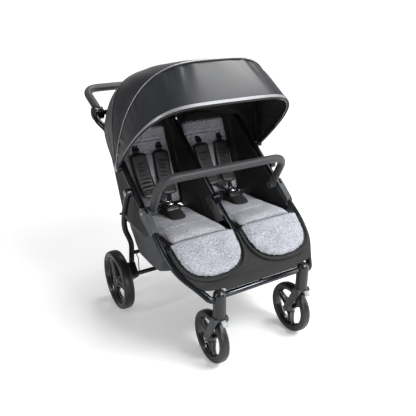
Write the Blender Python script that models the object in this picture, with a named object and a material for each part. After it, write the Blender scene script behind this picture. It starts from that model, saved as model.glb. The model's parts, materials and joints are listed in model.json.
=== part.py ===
# Side-by-side double stroller with one shared canopy, built from separate named pieces.
# Metres, +Z up. The front faces -Y, the origin lies on the floor below the middle of the box.
import bpy
import bmesh
from math import sin, cos, pi, radians, hypot, atan2
from mathutils import Vector

for old in list(bpy.data.objects):
    bpy.data.objects.remove(old, do_unlink=True)

# Overall size
overallWidth = 0.7366
overallLength = 0.9906
overallHeight = 1.0414
gap = 0.0003

# Wheels
rearTyreRadius = 0.128
rearTyreWidth = 0.044
frontTyreRadius = 0.1016
frontTyreWidth = 0.036
tyreDepth = 0.021
hubRadius = 0.021
axleRadius = 0.006
runningGap = 0.0004
wheelFacets = 28
postSides = 16
rearWheelX = overallWidth / 2 - rearTyreWidth / 2
rearAxleY = 0.108
frontWheelX = rearWheelX - 0.1613
frontAxleY = -overallLength / 2 + frontTyreRadius
casterTrail = 0.0513
swivelY = frontAxleY - casterTrail

# Side frame
tubeRadius = 0.0125
tubeX = rearWheelX - 0.0403
foldY = -0.115
foldZ = 0.515
upperAngle = radians(35.0)
lowerAngle = radians(213.6)
hubDistance = 0.505
legPivotDistance = 0.10
canopyPivotDistance = 0.215

# Joint cover
coverWidth = 0.026
coverLength = 0.085
coverRadius = 0.0225
lugThickness = 0.008
lugRadius = 0.0145
lugPinRadius = 0.005
lockPinRadius = 0.0016
lockEarThickness = 0.003
canopyPinRadius = 0.004
centrePinRadius = 0.004
legPinHeadRadius = 0.009
legEyeHalf = 0.0115

# Caster
housingRadius = 0.0235
housingBottom = 0.2193
housingTop = 0.326
stemRadius = 0.0125
stemLength = 0.069
crossbarRadius = 0.011
crownHeight = 0.012
forkArmThickness = 0.007
forkArmGap = 0.003
tabHalf = 0.009
tabRadius = 0.0035

# Rear legs
legRadius = 0.011
legOuterX = tubeX + 0.028
legInnerX = tubeX - 0.010
barY = 0.048
barZ = 0.170
barRadius = 0.009
stretcherY = 0.066
stretcherZ = 0.262
stretcherRadius = 0.008
bracketWidth = 0.030
legEnd = (0.075, 0.215)
pedalX = tubeX - 0.091
pedalWidth = 0.050
cableX = 0.022 - legInnerX
cableRadius = 0.002

# Handle
handleX = tubeX - 0.003
gripRadius = 0.0165
handleTubeRadius = 0.011
handleRise = 0.068
handleBend = 0.062
gripStart = 0.032
handleHubRadius = 0.026
handleDiscRadius = 0.025
handleHubWidth = 0.0215
outerHubWidth = 0.020
buttonRadius = 0.010
buttonProud = 0.004
buttonTravel = 0.003
backBarRadius = 0.010
centreRadius = 0.009
centreEye = 0.012
cheekIn, cheekOut = 0.0045, 0.0125

# Bumper bar
bumperX = tubeX - 0.031
bumperRadius = 0.016
bumperTopY = -0.193
bumperTopZ = 0.660
bumperEyeRadius = 0.0170

# Seats
clothThickness = 0.003
wallX = tubeX - tubeRadius - clothThickness - gap
seatInnerX = 0.023
seatOuterX = tubeX - 0.031
seatMidX = (seatOuterX + seatInnerX) / 2
seatHalf = (seatOuterX - seatInnerX) / 2
seatRearY = 0.1071
seatRearZ = 0.425
seatFrontY = -0.262
seatFrontZ = 0.462
padThickness = 0.028
deckThickness = 0.006
deckInnerX = 0.0135
dividerHalf = 0.0215
deckOuterX = wallX - gap
backHingeY = 0.125
backHingeZ = 0.430
backAngle = radians(66.7)
backLength = 0.370
backStart = -0.0145
backBoard = 0.010
calfLength = 0.165
calfAngle = radians(214.5)
calfTopThickness = 0.0205
calfEndThickness = 0.012
calfHingeY = -0.2630
calfHingeZ = 0.4635
calfHingeDepth = 0.0259
beltWidth = 0.024
buckleY = -0.0025
buckleTop = 0.4827
buckleButtonRadius = 0.010

# Canopy
bowWidth = 0.006
bowDepth = 0.0045
bowEyeRadius = 0.010
bowEyeThickness = 0.005
brimAngle, brimReach = radians(136.6), 0.402
midAngle, midLean = radians(105.0), radians(7.0)
rearAngle, rearReach = radians(85.7), 0.361
flapAngle, flapReach = radians(43.0), 0.290
brimShape, midShape = (5.2, 2.7, 0.0), (3.6, 2.0, midLean)
rearShape, flapShape = (3.9, 4.9, 0.0), (4.5, 4.0, 0.0)
bowSpread = 0.011
bowSteps = 20
basketHalf = wallX - gap
basketWall = 0.003
panelThickness = 0.002

# Derived places
hubY = foldY + hubDistance * cos(upperAngle)
hubZ = foldZ + hubDistance * sin(upperAngle)
legPivotY = foldY + legPivotDistance * cos(upperAngle)
legPivotZ = foldZ + legPivotDistance * sin(upperAngle)
canopyY = foldY + canopyPivotDistance * cos(upperAngle)
canopyZ = foldZ + canopyPivotDistance * sin(upperAngle)
midReach = (overallHeight - canopyZ) / sin(midAngle + midLean - bowSpread) - clothThickness
gripRearY = overallLength / 2 - gripRadius
gripRearZ = hubZ + handleRise
backBarHalf = handleX - handleHubWidth / 2 - 4 * gap


# Materials

def material(name, colour, roughness, metallic=0.0):
    made = bpy.data.materials.new(name)
    made.use_nodes = True
    shader = made.node_tree.nodes["Principled BSDF"]
    shader.inputs["Base Color"].default_value = (*colour, 1.0)
    shader.inputs["Roughness"].default_value = roughness
    shader.inputs["Metallic"].default_value = metallic
    return made


frameMetal = material("powder_coated_aluminium", (0.045, 0.048, 0.052), 0.38, 0.6)
greyPlastic = material("grey_moulded_plastic", (0.115, 0.12, 0.125), 0.5)
blackPlastic = material("black_moulded_plastic", (0.018, 0.018, 0.02), 0.42)
tyreRubber = material("tyre_rubber", (0.022, 0.022, 0.024), 0.75)
foamGrip = material("grip_foam", (0.03, 0.03, 0.033), 0.85)
heatherCloth = material("heather_cloth", (0.34, 0.34, 0.36), 0.9)
charcoalCloth = material("charcoal_cloth", (0.05, 0.052, 0.056), 0.85)
blackCloth = material("black_cloth", (0.012, 0.012, 0.013), 0.9)
silverPiping = material("silver_piping", (0.55, 0.56, 0.58), 0.4)
tabPlastic = material("pale_grey_plastic", (0.35, 0.36, 0.37), 0.45)


# Mesh helpers

def centre(name, y, z, x=0.0):
    """Empty on a joint's axis; the pieces of a moving body are its children."""
    empty = bpy.data.objects.new(name, None)
    empty.location = (x, y, z)
    bpy.context.collection.objects.link(empty)
    return empty


def place(name, mesh, paint, parent=None, side=1):
    """Turn a bmesh in world places into an object whose origin is its parent's axis."""
    if side < 0:
        bmesh.ops.scale(mesh, vec=(-1, 1, 1), verts=mesh.verts)
        bmesh.ops.reverse_faces(mesh, faces=mesh.faces)
    if parent is not None:
        bmesh.ops.translate(mesh, vec=-Vector(parent.location), verts=mesh.verts)
    data = bpy.data.meshes.new(name)
    mesh.to_mesh(data)
    mesh.free()
    data.materials.append(paint)
    data.shade_smooth()
    data.set_sharp_from_angle(angle=radians(38))
    made = bpy.data.objects.new(name, data)
    bpy.context.collection.objects.link(made)
    made.parent = parent
    return made


def combine(target, tool, operation):
    """Join another shape to a piece, or cut it out, with an exact Boolean."""
    tool.hide_render = True
    tool.display_type = "WIRE"
    modifier = target.modifiers.new(operation.lower() + "_" + tool.name, "BOOLEAN")
    modifier.operation = operation
    modifier.object = tool
    modifier.solver = "EXACT"


def sided(word, side):
    return word + ("_right" if side > 0 else "_left")


def loft(rings, closed=False):
    """Skin a row of rings that have equal counts, and cap the ends unless it closes on itself."""
    mesh = bmesh.new()
    rows = [[mesh.verts.new(p) for p in ring] for ring in rings]
    pairs = list(zip(rows, rows[1:]))
    if closed:
        pairs.append((rows[-1], rows[0]))
    count = len(rows[0])
    for low, high in pairs:
        for i in range(count):
            j = (i + 1) % count
            mesh.faces.new((low[i], low[j], high[j], high[i]))
    if not closed:
        mesh.faces.new(list(reversed(rows[0])))
        mesh.faces.new(rows[-1])
    bmesh.ops.recalc_face_normals(mesh, faces=mesh.faces)
    return mesh


def bentPath(corners, bend, steps=3):
    """Straight runs whose corners are rounded to the given bend radius."""
    points = [Vector(corners[0])]
    for before, here, after in zip(corners, corners[1:], corners[2:]):
        a, b, c = Vector(before), Vector(here), Vector(after)
        inward, outward = (a - b), (c - b)
        reach = min(bend, inward.length * 0.45, outward.length * 0.45)
        start = b + inward.normalized() * reach
        end = b + outward.normalized() * reach
        for k in range(steps + 1):
            t = k / steps
            points.append(start * (1 - t) ** 2 + b * 2 * t * (1 - t) + end * t ** 2)
    points.append(Vector(corners[-1]))
    return points


def tube(path, radius, sides=10, radii=None):
    """Round tube along a path, with flat ends."""
    path = [Vector(p) for p in path]
    rings = []
    tangent = (path[1] - path[0]).normalized()
    across = tangent.orthogonal().normalized()
    for i, point in enumerate(path):
        ahead = path[min(i + 1, len(path) - 1)] - path[max(i - 1, 0)]
        turned = ahead.normalized()
        across = (across - turned * across.dot(turned)).normalized()
        other = turned.cross(across)
        size = radii[i] if radii else radius
        rings.append([point + (across * cos(2 * pi * k / sides) + other * sin(2 * pi * k / sides)) * size
                      for k in range(sides)])
    return loft(rings)


def turned(profile, y, z, segments, x=0.0):
    """Ring turned about an X axis from a closed profile of (distance along X, radius)."""
    rings = []
    for k in range(segments):
        a = 2 * pi * (k + 0.5) / segments
        rings.append([Vector((x + u, y + r * cos(a), z + r * sin(a))) for u, r in profile])
    return loft(rings, closed=True)


def disc(x0, x1, y, z, radius, sides=12):
    """Solid round piece about an X axis."""
    rings = [[Vector((x, y + radius * cos(2 * pi * k / sides), z + radius * sin(2 * pi * k / sides)))
              for k in range(sides)] for x in (x0, x1)]
    return loft(rings)


def post(x, y, levels, sides=postSides):
    """Solid turned about a vertical axis from (height, radius) levels."""
    return loft([[Vector((x + r * cos(2 * pi * k / sides), y + r * sin(2 * pi * k / sides), z))
                  for k in range(sides)] for z, r in levels])


def plate(outline, x0, x1):
    """Flat piece across X from an outline of (y, z) places."""
    return loft([[Vector((x, y, z)) for y, z in outline] for x in (x0, x1)])


def hull(circles, count=20):
    """Outline round a fan of circles (y, z, r) that is convex, found by sweeping directions."""
    outline = []
    for k in range(count):
        a = 2 * pi * k / count
        y, z, r = max(circles, key=lambda c: c[0] * cos(a) + c[1] * sin(a) + c[2])
        outline.append((y + r * cos(a), z + r * sin(a)))
    return outline


def along(y, z, angle, distance, side=0.0):
    """Place at a distance along a direction in the side view, and to its left."""
    return (y + distance * cos(angle) - side * sin(angle), z + distance * sin(angle) + side * cos(angle))


def guide(name, mesh, parent=None, side=1):
    """Shape that only joins or cuts others."""
    made = place(name, mesh, blackPlastic, parent, side)
    made.hide_render = True
    made.display_type = "WIRE"
    return made


# Joint axes
foldAxis = centre("axis_fold", foldY, foldZ)
legAxis = centre("axis_rear_frame", legPivotY, legPivotZ)
handleAxis = centre("axis_handle", hubY, hubZ)
canopyAxis = centre("axis_canopy", canopyY, canopyZ)
barAxis = centre("axis_brake_pedal", barY, barZ)


# Wheels

def tyre(name, x, y, z, radius, width, parent):
    half = width / 2
    shoulder = 0.006
    crown = [(-half + 0.004, radius - tyreDepth), (-half, radius - tyreDepth + 0.006),
             (-half, radius - shoulder), (-half * 0.55, radius), (half * 0.55, radius),
             (half, radius - shoulder), (half, radius - tyreDepth + 0.006),
             (half - 0.004, radius - tyreDepth)]
    crown = [(u, r / cos(pi / wheelFacets)) for u, r in crown]
    place(name, turned(crown, y, z, wheelFacets, x), tyreRubber, parent)


def rim(name, x, y, z, radius, width, parent, turn):
    """Rim with three narrow spokes left between its windows."""
    outer = radius - tyreDepth - gap
    half = width / 2 - 0.003
    web = 0.006
    lip = 0.009
    bore = axleRadius + runningGap
    profile = [(-half, bore), (half, bore), (half, hubRadius), (web, hubRadius + 0.004),
               (web, outer - lip), (half, outer), (-half, outer), (-web, outer - lip),
               (-web, hubRadius + 0.004), (-half, hubRadius)]
    made = place(name, turned(profile, y, z, wheelFacets, x), greyPlastic, parent)
    inner = hubRadius + 0.007
    rimEdge = outer - lip - 0.003
    for k in range(3):
        a = turn + k * 2 * pi / 3
        spread = radians(50)
        outline = []
        for t in (-1.0, -0.5, 0.0, 0.5, 1.0):
            outline.append((rimEdge, a + t * spread))
        for t in (0.8, 0.0, -0.8):
            outline.append((inner + 0.006 * (1 - abs(t)), a + t * radians(34)))
        places = [(y + r * cos(b), z + r * sin(b)) for r, b in outline]
        window = guide(name + "_window" + str(k), plate(places, x - half, x + half), parent)
        combine(made, window, "DIFFERENCE")


# Rear axle, legs and wheels
def rearSide(side):
    x = side * rearWheelX
    wheelAxis = centre(sided("axis_rear_wheel", side), rearAxleY, rearTyreRadius, x)
    tyre(sided("rear_tyre", side), x, rearAxleY, rearTyreRadius, rearTyreRadius, rearTyreWidth, wheelAxis)
    rim(sided("rear_rim", side), x, rearAxleY, rearTyreRadius, rearTyreRadius, rearTyreWidth, wheelAxis,
        radians(30 if side > 0 else 20))

    inner = legInnerX - bracketWidth / 2 + 0.003
    outer = rearWheelX - rearTyreWidth / 2 + 0.003 - gap * 6
    outline = hull([(legEnd[0], legEnd[1] - 0.014, 0.014), (rearAxleY, rearTyreRadius, 0.019),
                    (barY, barZ, 0.015)])
    bracket = place(sided("rear_bracket", side), plate(outline, inner, outer), blackPlastic, legAxis, side)
    hubOuter = rearWheelX + rearTyreWidth / 2 - 0.003
    axle = guide(sided("rear_axle_stub", side), disc(outer - 0.006, hubOuter + 0.002, rearAxleY,
                 rearTyreRadius, axleRadius, 16), legAxis, side)
    cap = guide(sided("rear_axle_cap", side), disc(hubOuter + gap, hubOuter + 0.0028, rearAxleY,
                rearTyreRadius, 0.011, 16), legAxis, side)
    combine(bracket, axle, "UNION")
    combine(bracket, cap, "UNION")

    path = bentPath([(legOuterX, legPivotY, legPivotZ), (legOuterX, 0.018, 0.475), (legOuterX, 0.034, 0.400),
                     (legInnerX + 0.004, 0.052, 0.318), (legInnerX, 0.066, 0.270),
                     (legInnerX, legEnd[0], legEnd[1] + 0.004)], 0.035, 2)
    leg = place(sided("rear_leg", side), tube(path, legRadius), frameMetal, legAxis, side)
    eye = guide(sided("leg_eye", side), disc(legOuterX - legEyeHalf, legOuterX + legEyeHalf, legPivotY,
                legPivotZ, 0.0165), legAxis, side)
    hole = guide(sided("leg_hole", side), disc(legOuterX - 0.03, legOuterX + 0.03, legPivotY, legPivotZ,
                 lugPinRadius + gap, 16), legAxis, side)
    combine(leg, eye, "UNION")
    combine(leg, hole, "DIFFERENCE")
    socket = guide(sided("leg_socket", side), disc(inner - 0.01, outer + 0.01, legEnd[0], legEnd[1] + 0.06,
                   0.06 - 0.004), legAxis, side)
    combine(bracket, socket, "DIFFERENCE")


for side in (-1, 1):
    rearSide(side)

barHalf = legInnerX - bracketWidth / 2 + 0.003 - gap
place("rear_axle_bar", disc(-barHalf, barHalf, barY, barZ, barRadius, 14), frameMetal, legAxis)
stretcherHalf = legInnerX - legRadius - gap
place("rear_stretcher", disc(-stretcherHalf, stretcherHalf, stretcherY, stretcherZ, stretcherRadius, 12),
      frameMetal, legAxis)


# Brake: a foot pedal that turns on the axle bar, and the cable that links the two wheel brakes
pedalOutline = hull([(barY, barZ, 0.0145), (barY + 0.075, barZ + 0.016, 0.006)])
pedal = place("brake_pedal", plate(pedalOutline, pedalX - pedalWidth / 2, pedalX + pedalWidth / 2),
              blackPlastic, barAxis)
combine(pedal, guide("pedal_bore", disc(pedalX - 0.05, pedalX + 0.05, barY, barZ, barRadius + gap, 14),
                     barAxis), "DIFFERENCE")
cablePath = bentPath([(cableX, barY + 0.002, barZ + barRadius + gap), (cableX, barY + 0.006, 0.205),
                      (cableX + 0.012, barY + 0.034, 0.225), (cableX, stretcherY, 0.240),
                      (cableX, stretcherY, stretcherZ - stretcherRadius - gap)], 0.012, 2)
place("brake_cable", tube(cablePath, cableRadius, 6), blackPlastic, legAxis)


# Front casters
def caster(side):
    axis = centre(sided("axis_caster", side), swivelY, housingBottom, side * frontWheelX)
    wheelAxis = centre(sided("axis_front_wheel", side), frontAxleY, frontTyreRadius, side * frontWheelX)
    x = frontWheelX
    boreRadius = (stemRadius + gap) / cos(pi / postSides)
    housing = place(sided("caster_housing", side),
                    post(x, swivelY, [(housingBottom, housingRadius), (housingTop - 0.014, housingRadius),
                                      (housingTop - 0.005, housingRadius - 0.005),
                                      (housingTop, housingRadius - 0.013)]), greyPlastic, None, side)
    bore = guide(sided("stem_bore", side), post(x, swivelY, [(housingBottom - 0.01, boreRadius),
                 (housingBottom + stemLength + 0.001, boreRadius)]), None, side)
    combine(housing, bore, "DIFFERENCE")

    crownTop = housingBottom - gap
    crownBottom = crownTop - crownHeight
    fork = place(sided("caster_fork", side), post(x, swivelY, [(crownBottom, housingRadius - 0.002),
                 (crownBottom + 0.004, housingRadius), (crownTop, housingRadius), (crownTop, stemRadius),
                 (crownTop + stemLength, stemRadius)]), greyPlastic, axis, side)
    armInner = frontTyreWidth / 2 + forkArmGap
    armOuter = armInner + forkArmThickness
    outline = hull([(swivelY + 0.003, crownTop - 0.011, 0.011), (swivelY - 0.008, crownTop - 0.011, 0.011),
                    (frontAxleY, frontTyreRadius, 0.0135)])
    for n, (near, far) in enumerate(((-armOuter, -armInner), (armInner, armOuter))):
        arm = guide(sided("fork_arm" + str(n), side), plate(outline, x + near, x + far), axis, side)
        combine(fork, arm, "UNION")
    bridge = guide(sided("fork_bridge", side), loft([[Vector((x + u, swivelY + v, z)) for u, v in
                   ((-armOuter, -0.016), (armOuter, -0.016), (armOuter, 0.012), (-armOuter, 0.012))]
                   for z in (crownBottom, crownTop - 0.001)]), axis, side)
    combine(fork, bridge, "UNION")
    axle = guide(sided("fork_axle", side), disc(x - armOuter - 0.002, x + armOuter + 0.002, frontAxleY,
                 frontTyreRadius, axleRadius, 16), axis, side)
    combine(fork, axle, "UNION")

    tyre(sided("front_tyre", side), side * x, frontAxleY, frontTyreRadius, frontTyreRadius,
         frontTyreWidth, wheelAxis)
    rim(sided("front_rim", side), side * x, frontAxleY, frontTyreRadius, frontTyreRadius,
        frontTyreWidth, wheelAxis, radians(50 if side > 0 else 80))

    tabY = swivelY - housingRadius - tabRadius - gap
    tabZ = crownTop - crownHeight / 2
    earOuter = tabHalf + gap + lockEarThickness
    for n, (near, far) in enumerate(((-earOuter, -tabHalf - gap), (tabHalf + gap, earOuter))):
        outline = hull([(tabY, tabZ, tabRadius), (swivelY - 0.018, tabZ, tabRadius)], 12)
        ear = plate(outline, x + near, x + far)
        combine(fork, guide(sided("lock_ear" + str(n), side), ear, axis, side), "UNION")
    pin = disc(x - tabHalf - 0.002, x + tabHalf + 0.002, tabY, tabZ, lockPinRadius, 8)
    combine(fork, guide(sided("lock_pin", side), pin, axis, side), "UNION")
    tabAxis = centre(sided("axis_swivel_lock", side), tabY, tabZ, side * x)
    tabOutline = hull([(tabY, tabZ, tabRadius), (tabY - 0.014, tabZ - 0.010, 0.0025)], 16)
    tab = place(sided("swivel_lock", side), plate(tabOutline, x - tabHalf, x + tabHalf), tabPlastic,
                tabAxis, side)
    combine(tab, guide(sided("lock_hole", side), disc(x - 0.02, x + 0.02, tabY, tabZ, lockPinRadius + gap, 8),
                       tabAxis, side), "DIFFERENCE")


for side in (-1, 1):
    caster(side)


# Lower frame
def lowerFrame(side):
    coverEnd = along(foldY, foldZ, lowerAngle, coverLength)
    start = along(foldY, foldZ, lowerAngle, coverLength - 0.012)
    straight = along(foldY, foldZ, lowerAngle, 0.188)
    entry = housingRadius - 0.004
    path = bentPath([(tubeX, *start), (tubeX, *straight), (tubeX - 0.018, -0.345, 0.363),
                     (tubeX - 0.062, -0.405, 0.322), (frontWheelX + 0.036, -0.441, 0.296),
                     (frontWheelX + entry + gap, swivelY + 0.001, 0.290)], 0.04, 2)
    lower = place(sided("lower_tube", side), tube(path, tubeRadius), frameMetal, None, side)
    cut = guide(sided("housing_seat", side), post(frontWheelX, swivelY, [(housingBottom, housingRadius + gap),
                (housingTop + 0.02, housingRadius + gap)]), None, side)
    combine(lower, cut, "DIFFERENCE")

    x0, x1 = tubeX - coverWidth / 2, tubeX + coverWidth / 2
    outline = hull([(foldY, foldZ, coverRadius), (*coverEnd, coverRadius - 0.006)])
    cover = place(sided("joint_cover", side), plate(outline, x0, x1), greyPlastic, foldAxis, side)
    corners = [(-0.017, -0.0165), (0.06, -0.0165), (0.06, 0.06), (-0.017, 0.06)]
    slotOutline = [along(foldY, foldZ, lowerAngle + pi, u, v) for u, v in corners]
    half = lugThickness / 2 + gap
    slot = guide(sided("cover_slot", side), plate(slotOutline, tubeX - half, tubeX + half), foldAxis, side)
    combine(cover, slot, "DIFFERENCE")
    pin = guide(sided("fold_pin", side), disc(bumperX - 0.012, x1 + 0.0005, foldY, foldZ,
                lugPinRadius, 16), foldAxis, side)
    combine(cover, pin, "UNION")
    boreEnds = [(tubeX, *along(foldY, foldZ, lowerAngle, coverLength + u)) for u in (-0.013, 0.05)]
    bore = guide(sided("cover_bore", side), tube(boreEnds, tubeRadius + gap), foldAxis, side)
    combine(cover, bore, "DIFFERENCE")


for side in (-1, 1):
    lowerFrame(side)

crossbarY = swivelY
crossbarZ = 0.302
crossbar = place("front_crossbar", disc(-frontWheelX, frontWheelX, crossbarY, crossbarZ, crossbarRadius, 16),
                 frameMetal)
for side in (-1, 1):
    combine(crossbar, guide(sided("crossbar_seat", side), post(frontWheelX, swivelY,
            [(housingBottom, housingRadius + gap), (housingTop + 0.02, housingRadius + gap)]), None, side),
            "DIFFERENCE")


def centreHalf(name, angle, reach, cheeks, parent):
    """Half of the folding tube between the seats, with one eye or two cheeks at the fold."""
    start = centreEye + 0.0045
    ends = [(0, *along(foldY, foldZ, angle, u)) for u in (start, reach)]
    made = place(name, tube(ends, centreRadius), frameMetal, parent)
    half = centreEye * 0.5
    neck = [along(foldY, foldZ, angle, u, v) for u, v in
            ((0, -half), (start + 0.012, -half), (start + 0.012, half), (0, half))]
    for n, (x0, x1) in enumerate(cheeks):
        eye = disc(x0, x1, foldY, foldZ, centreEye, 16)
        combine(made, guide(name + "_eye" + str(n), eye, parent), "UNION")
        combine(made, guide(name + "_neck" + str(n), plate(neck, x0, x1), parent), "UNION")
    return made



crossDistance = hypot(crossbarY - foldY, crossbarZ - foldZ)
lowerCentre = centreHalf("centre_tube_lower", lowerAngle, crossDistance, ((-cheekOut, -cheekIn),
                         (cheekIn, cheekOut)), foldAxis)
centrePin = disc(-cheekOut + 0.001, cheekOut - 0.001, foldY, foldZ, centrePinRadius, 12)
combine(lowerCentre, guide("centre_pin", centrePin, foldAxis), "UNION")
combine(lowerCentre, guide("centre_low_seat", disc(-0.03, 0.03, crossbarY, crossbarZ,
                           crossbarRadius + gap, 16)), "DIFFERENCE")
upperCentre = centreHalf("centre_tube_upper", upperAngle, hubDistance, ((-cheekIn + gap, cheekIn - gap),),
                         foldAxis)
centreHole = disc(-0.03, 0.03, foldY, foldZ, centrePinRadius + gap, 12)
combine(upperCentre, guide("centre_hole", centreHole, foldAxis), "DIFFERENCE")
combine(upperCentre, guide("centre_top_seat", disc(-0.03, 0.03, hubY, hubZ, backBarRadius + gap, 14),
                           foldAxis), "DIFFERENCE")
place("back_cross_tube", disc(-backBarHalf, backBarHalf, hubY, hubZ, backBarRadius, 14), frameMetal, foldAxis)


# Upper frame
def upperFrame(side):
    start = along(foldY, foldZ, upperAngle, coverRadius + 0.004)
    bendStart = along(foldY, foldZ, upperAngle, hubDistance - 0.09)
    bendEnd = along(foldY, foldZ, upperAngle, hubDistance - 0.045)
    outerHubX = handleX + handleHubWidth / 2 + gap
    path = bentPath([(tubeX, *start), (tubeX, *bendStart), (outerHubX + 0.012, *bendEnd),
                     (outerHubX + 0.012, *along(foldY, foldZ, upperAngle, hubDistance - 0.012))], 0.02)
    upper = place(sided("upper_tube", side), tube(path, tubeRadius), frameMetal, foldAxis, side)
    neck = [along(foldY, foldZ, upperAngle, u, v) for u, v in
            ((0, -0.009), (coverRadius + 0.012, -0.009), (coverRadius + 0.012, 0.009), (0, 0.009))]
    pinHeadX = legOuterX + legEyeHalf + gap
    shapes = {
        "lug": disc(tubeX - lugThickness / 2, tubeX + lugThickness / 2, foldY, foldZ, lugRadius),
        "neck": plate(neck, tubeX - lugThickness / 2, tubeX + lugThickness / 2),
        "outer_hub": disc(outerHubX, outerHubX + outerHubWidth, hubY, hubZ, handleHubRadius, 18),
        "leg_pin": disc(tubeX, legOuterX + legEyeHalf + 0.0015, legPivotY, legPivotZ, lugPinRadius, 16),
        "leg_pin_head": disc(pinHeadX, pinHeadX + 0.0027, legPivotY, legPivotZ, legPinHeadRadius, 16),
        "canopy_pin": disc(tubeX, tubeX + tubeRadius + 0.021, canopyY, canopyZ, canopyPinRadius, 12),
    }
    for word, shape in shapes.items():
        combine(upper, guide(sided(word, side), shape, foldAxis, side), "UNION")
    hole = guide(sided("lug_hole", side), disc(tubeX - 0.02, tubeX + 0.02, foldY, foldZ,
                 lugPinRadius + gap, 16), foldAxis, side)
    combine(upper, hole, "DIFFERENCE")
    pocket = guide(sided("button_pocket", side), disc(outerHubX + outerHubWidth - 0.008,
                   outerHubX + outerHubWidth + 0.01, hubY, hubZ, buttonRadius + gap, 14), foldAxis, side)
    combine(upper, pocket, "DIFFERENCE")
    buttonFace = outerHubX + outerHubWidth + buttonProud
    place(sided("handle_button", side), disc(outerHubX + outerHubWidth - 0.008 + buttonTravel + 0.001,
          buttonFace, hubY, hubZ, buttonRadius, 14), blackPlastic, handleAxis, side)


for side in (-1, 1):
    upperFrame(side)

# Handle: a tube with a hub disc at each end, most of it inside a foam grip
handleCorners = [(handleX, hubY, hubZ), (handleX - 0.002, gripRearY, gripRearZ),
                 (-handleX + 0.002, gripRearY, gripRearZ), (-handleX, hubY, hubZ)]
handlePath = bentPath(handleCorners, handleBend, 5)
handleTube = place("handle_tube", tube(handlePath, handleTubeRadius, 8), frameMetal, handleAxis)
for side in (-1, 1):
    handleDisc = disc(handleX - handleHubWidth / 2, handleX + handleHubWidth / 2, hubY, hubZ,
                      handleDiscRadius, 18)
    combine(handleTube, guide(sided("handle_hub", side), handleDisc, handleAxis, side), "UNION")
slopeY = (gripRearY - hubY) / hypot(gripRearY - hubY, gripRearZ - hubZ)
slopeZ = (gripRearZ - hubZ) / hypot(gripRearY - hubY, gripRearZ - hubZ)
gripCorners = list(handleCorners)
gripCorners[0] = (handleX, hubY + gripStart * slopeY, hubZ + gripStart * slopeZ)
gripCorners[3] = (-handleX, hubY + gripStart * slopeY, hubZ + gripStart * slopeZ)
gripPath = bentPath(gripCorners, handleBend, 5)
grip = place("handle_grip", tube(gripPath, gripRadius, 10), foamGrip, handleAxis)
combine(grip, guide("grip_bore", tube(handlePath, handleTubeRadius + gap, 8), handleAxis), "DIFFERENCE")


# Bumper bar across both seats
bumperCorners = [(bumperX, foldY, foldZ), (bumperX, bumperTopY, bumperTopZ),
                 (-bumperX, bumperTopY, bumperTopZ), (-bumperX, foldY, foldZ)]
bumper = place("bumper_bar", tube(bentPath(bumperCorners, 0.075, 6), bumperRadius, 10), foamGrip, foldAxis)
for side in (-1, 1):
    combine(bumper, guide(sided("bumper_eye", side), disc(bumperX - bumperRadius, bumperX + bumperRadius,
            foldY, foldZ, bumperEyeRadius), foldAxis, side), "UNION")
    combine(bumper, guide(sided("bumper_hole", side), disc(bumperX - 0.013, bumperX + 0.03, foldY, foldZ,
            lugPinRadius + gap, 16), foldAxis, side), "DIFFERENCE")


# Soft pieces as crowned closed forms

def crowned(rows, columns=9, power=4.0):
    """Pad from rows of (x mid, half width, y, z, normal angle, thickness above, thickness below)."""
    rings = []
    for mid, half, y, z, normal, above, below in rows:
        top, bottom = [], []
        for k in range(columns):
            u = -1 + 2 * k / (columns - 1)
            swell = 1 - abs(u) ** power
            x = mid + half * u
            top.append(Vector((x, y + above * (0.25 + 0.75 * swell) * cos(normal),
                               z + above * (0.25 + 0.75 * swell) * sin(normal))))
            bottom.append(Vector((x, y - below * cos(normal), z - below * sin(normal))))
        rings.append(top + bottom[::-1])
    return loft(rings)


def deckBottom(y):
    """Height of the underside of the seat deck."""
    share = (seatRearY - y) / (seatRearY - seatFrontY)
    return seatRearZ + (seatFrontZ - seatRearZ) * share - padThickness - deckThickness - gap


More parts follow.
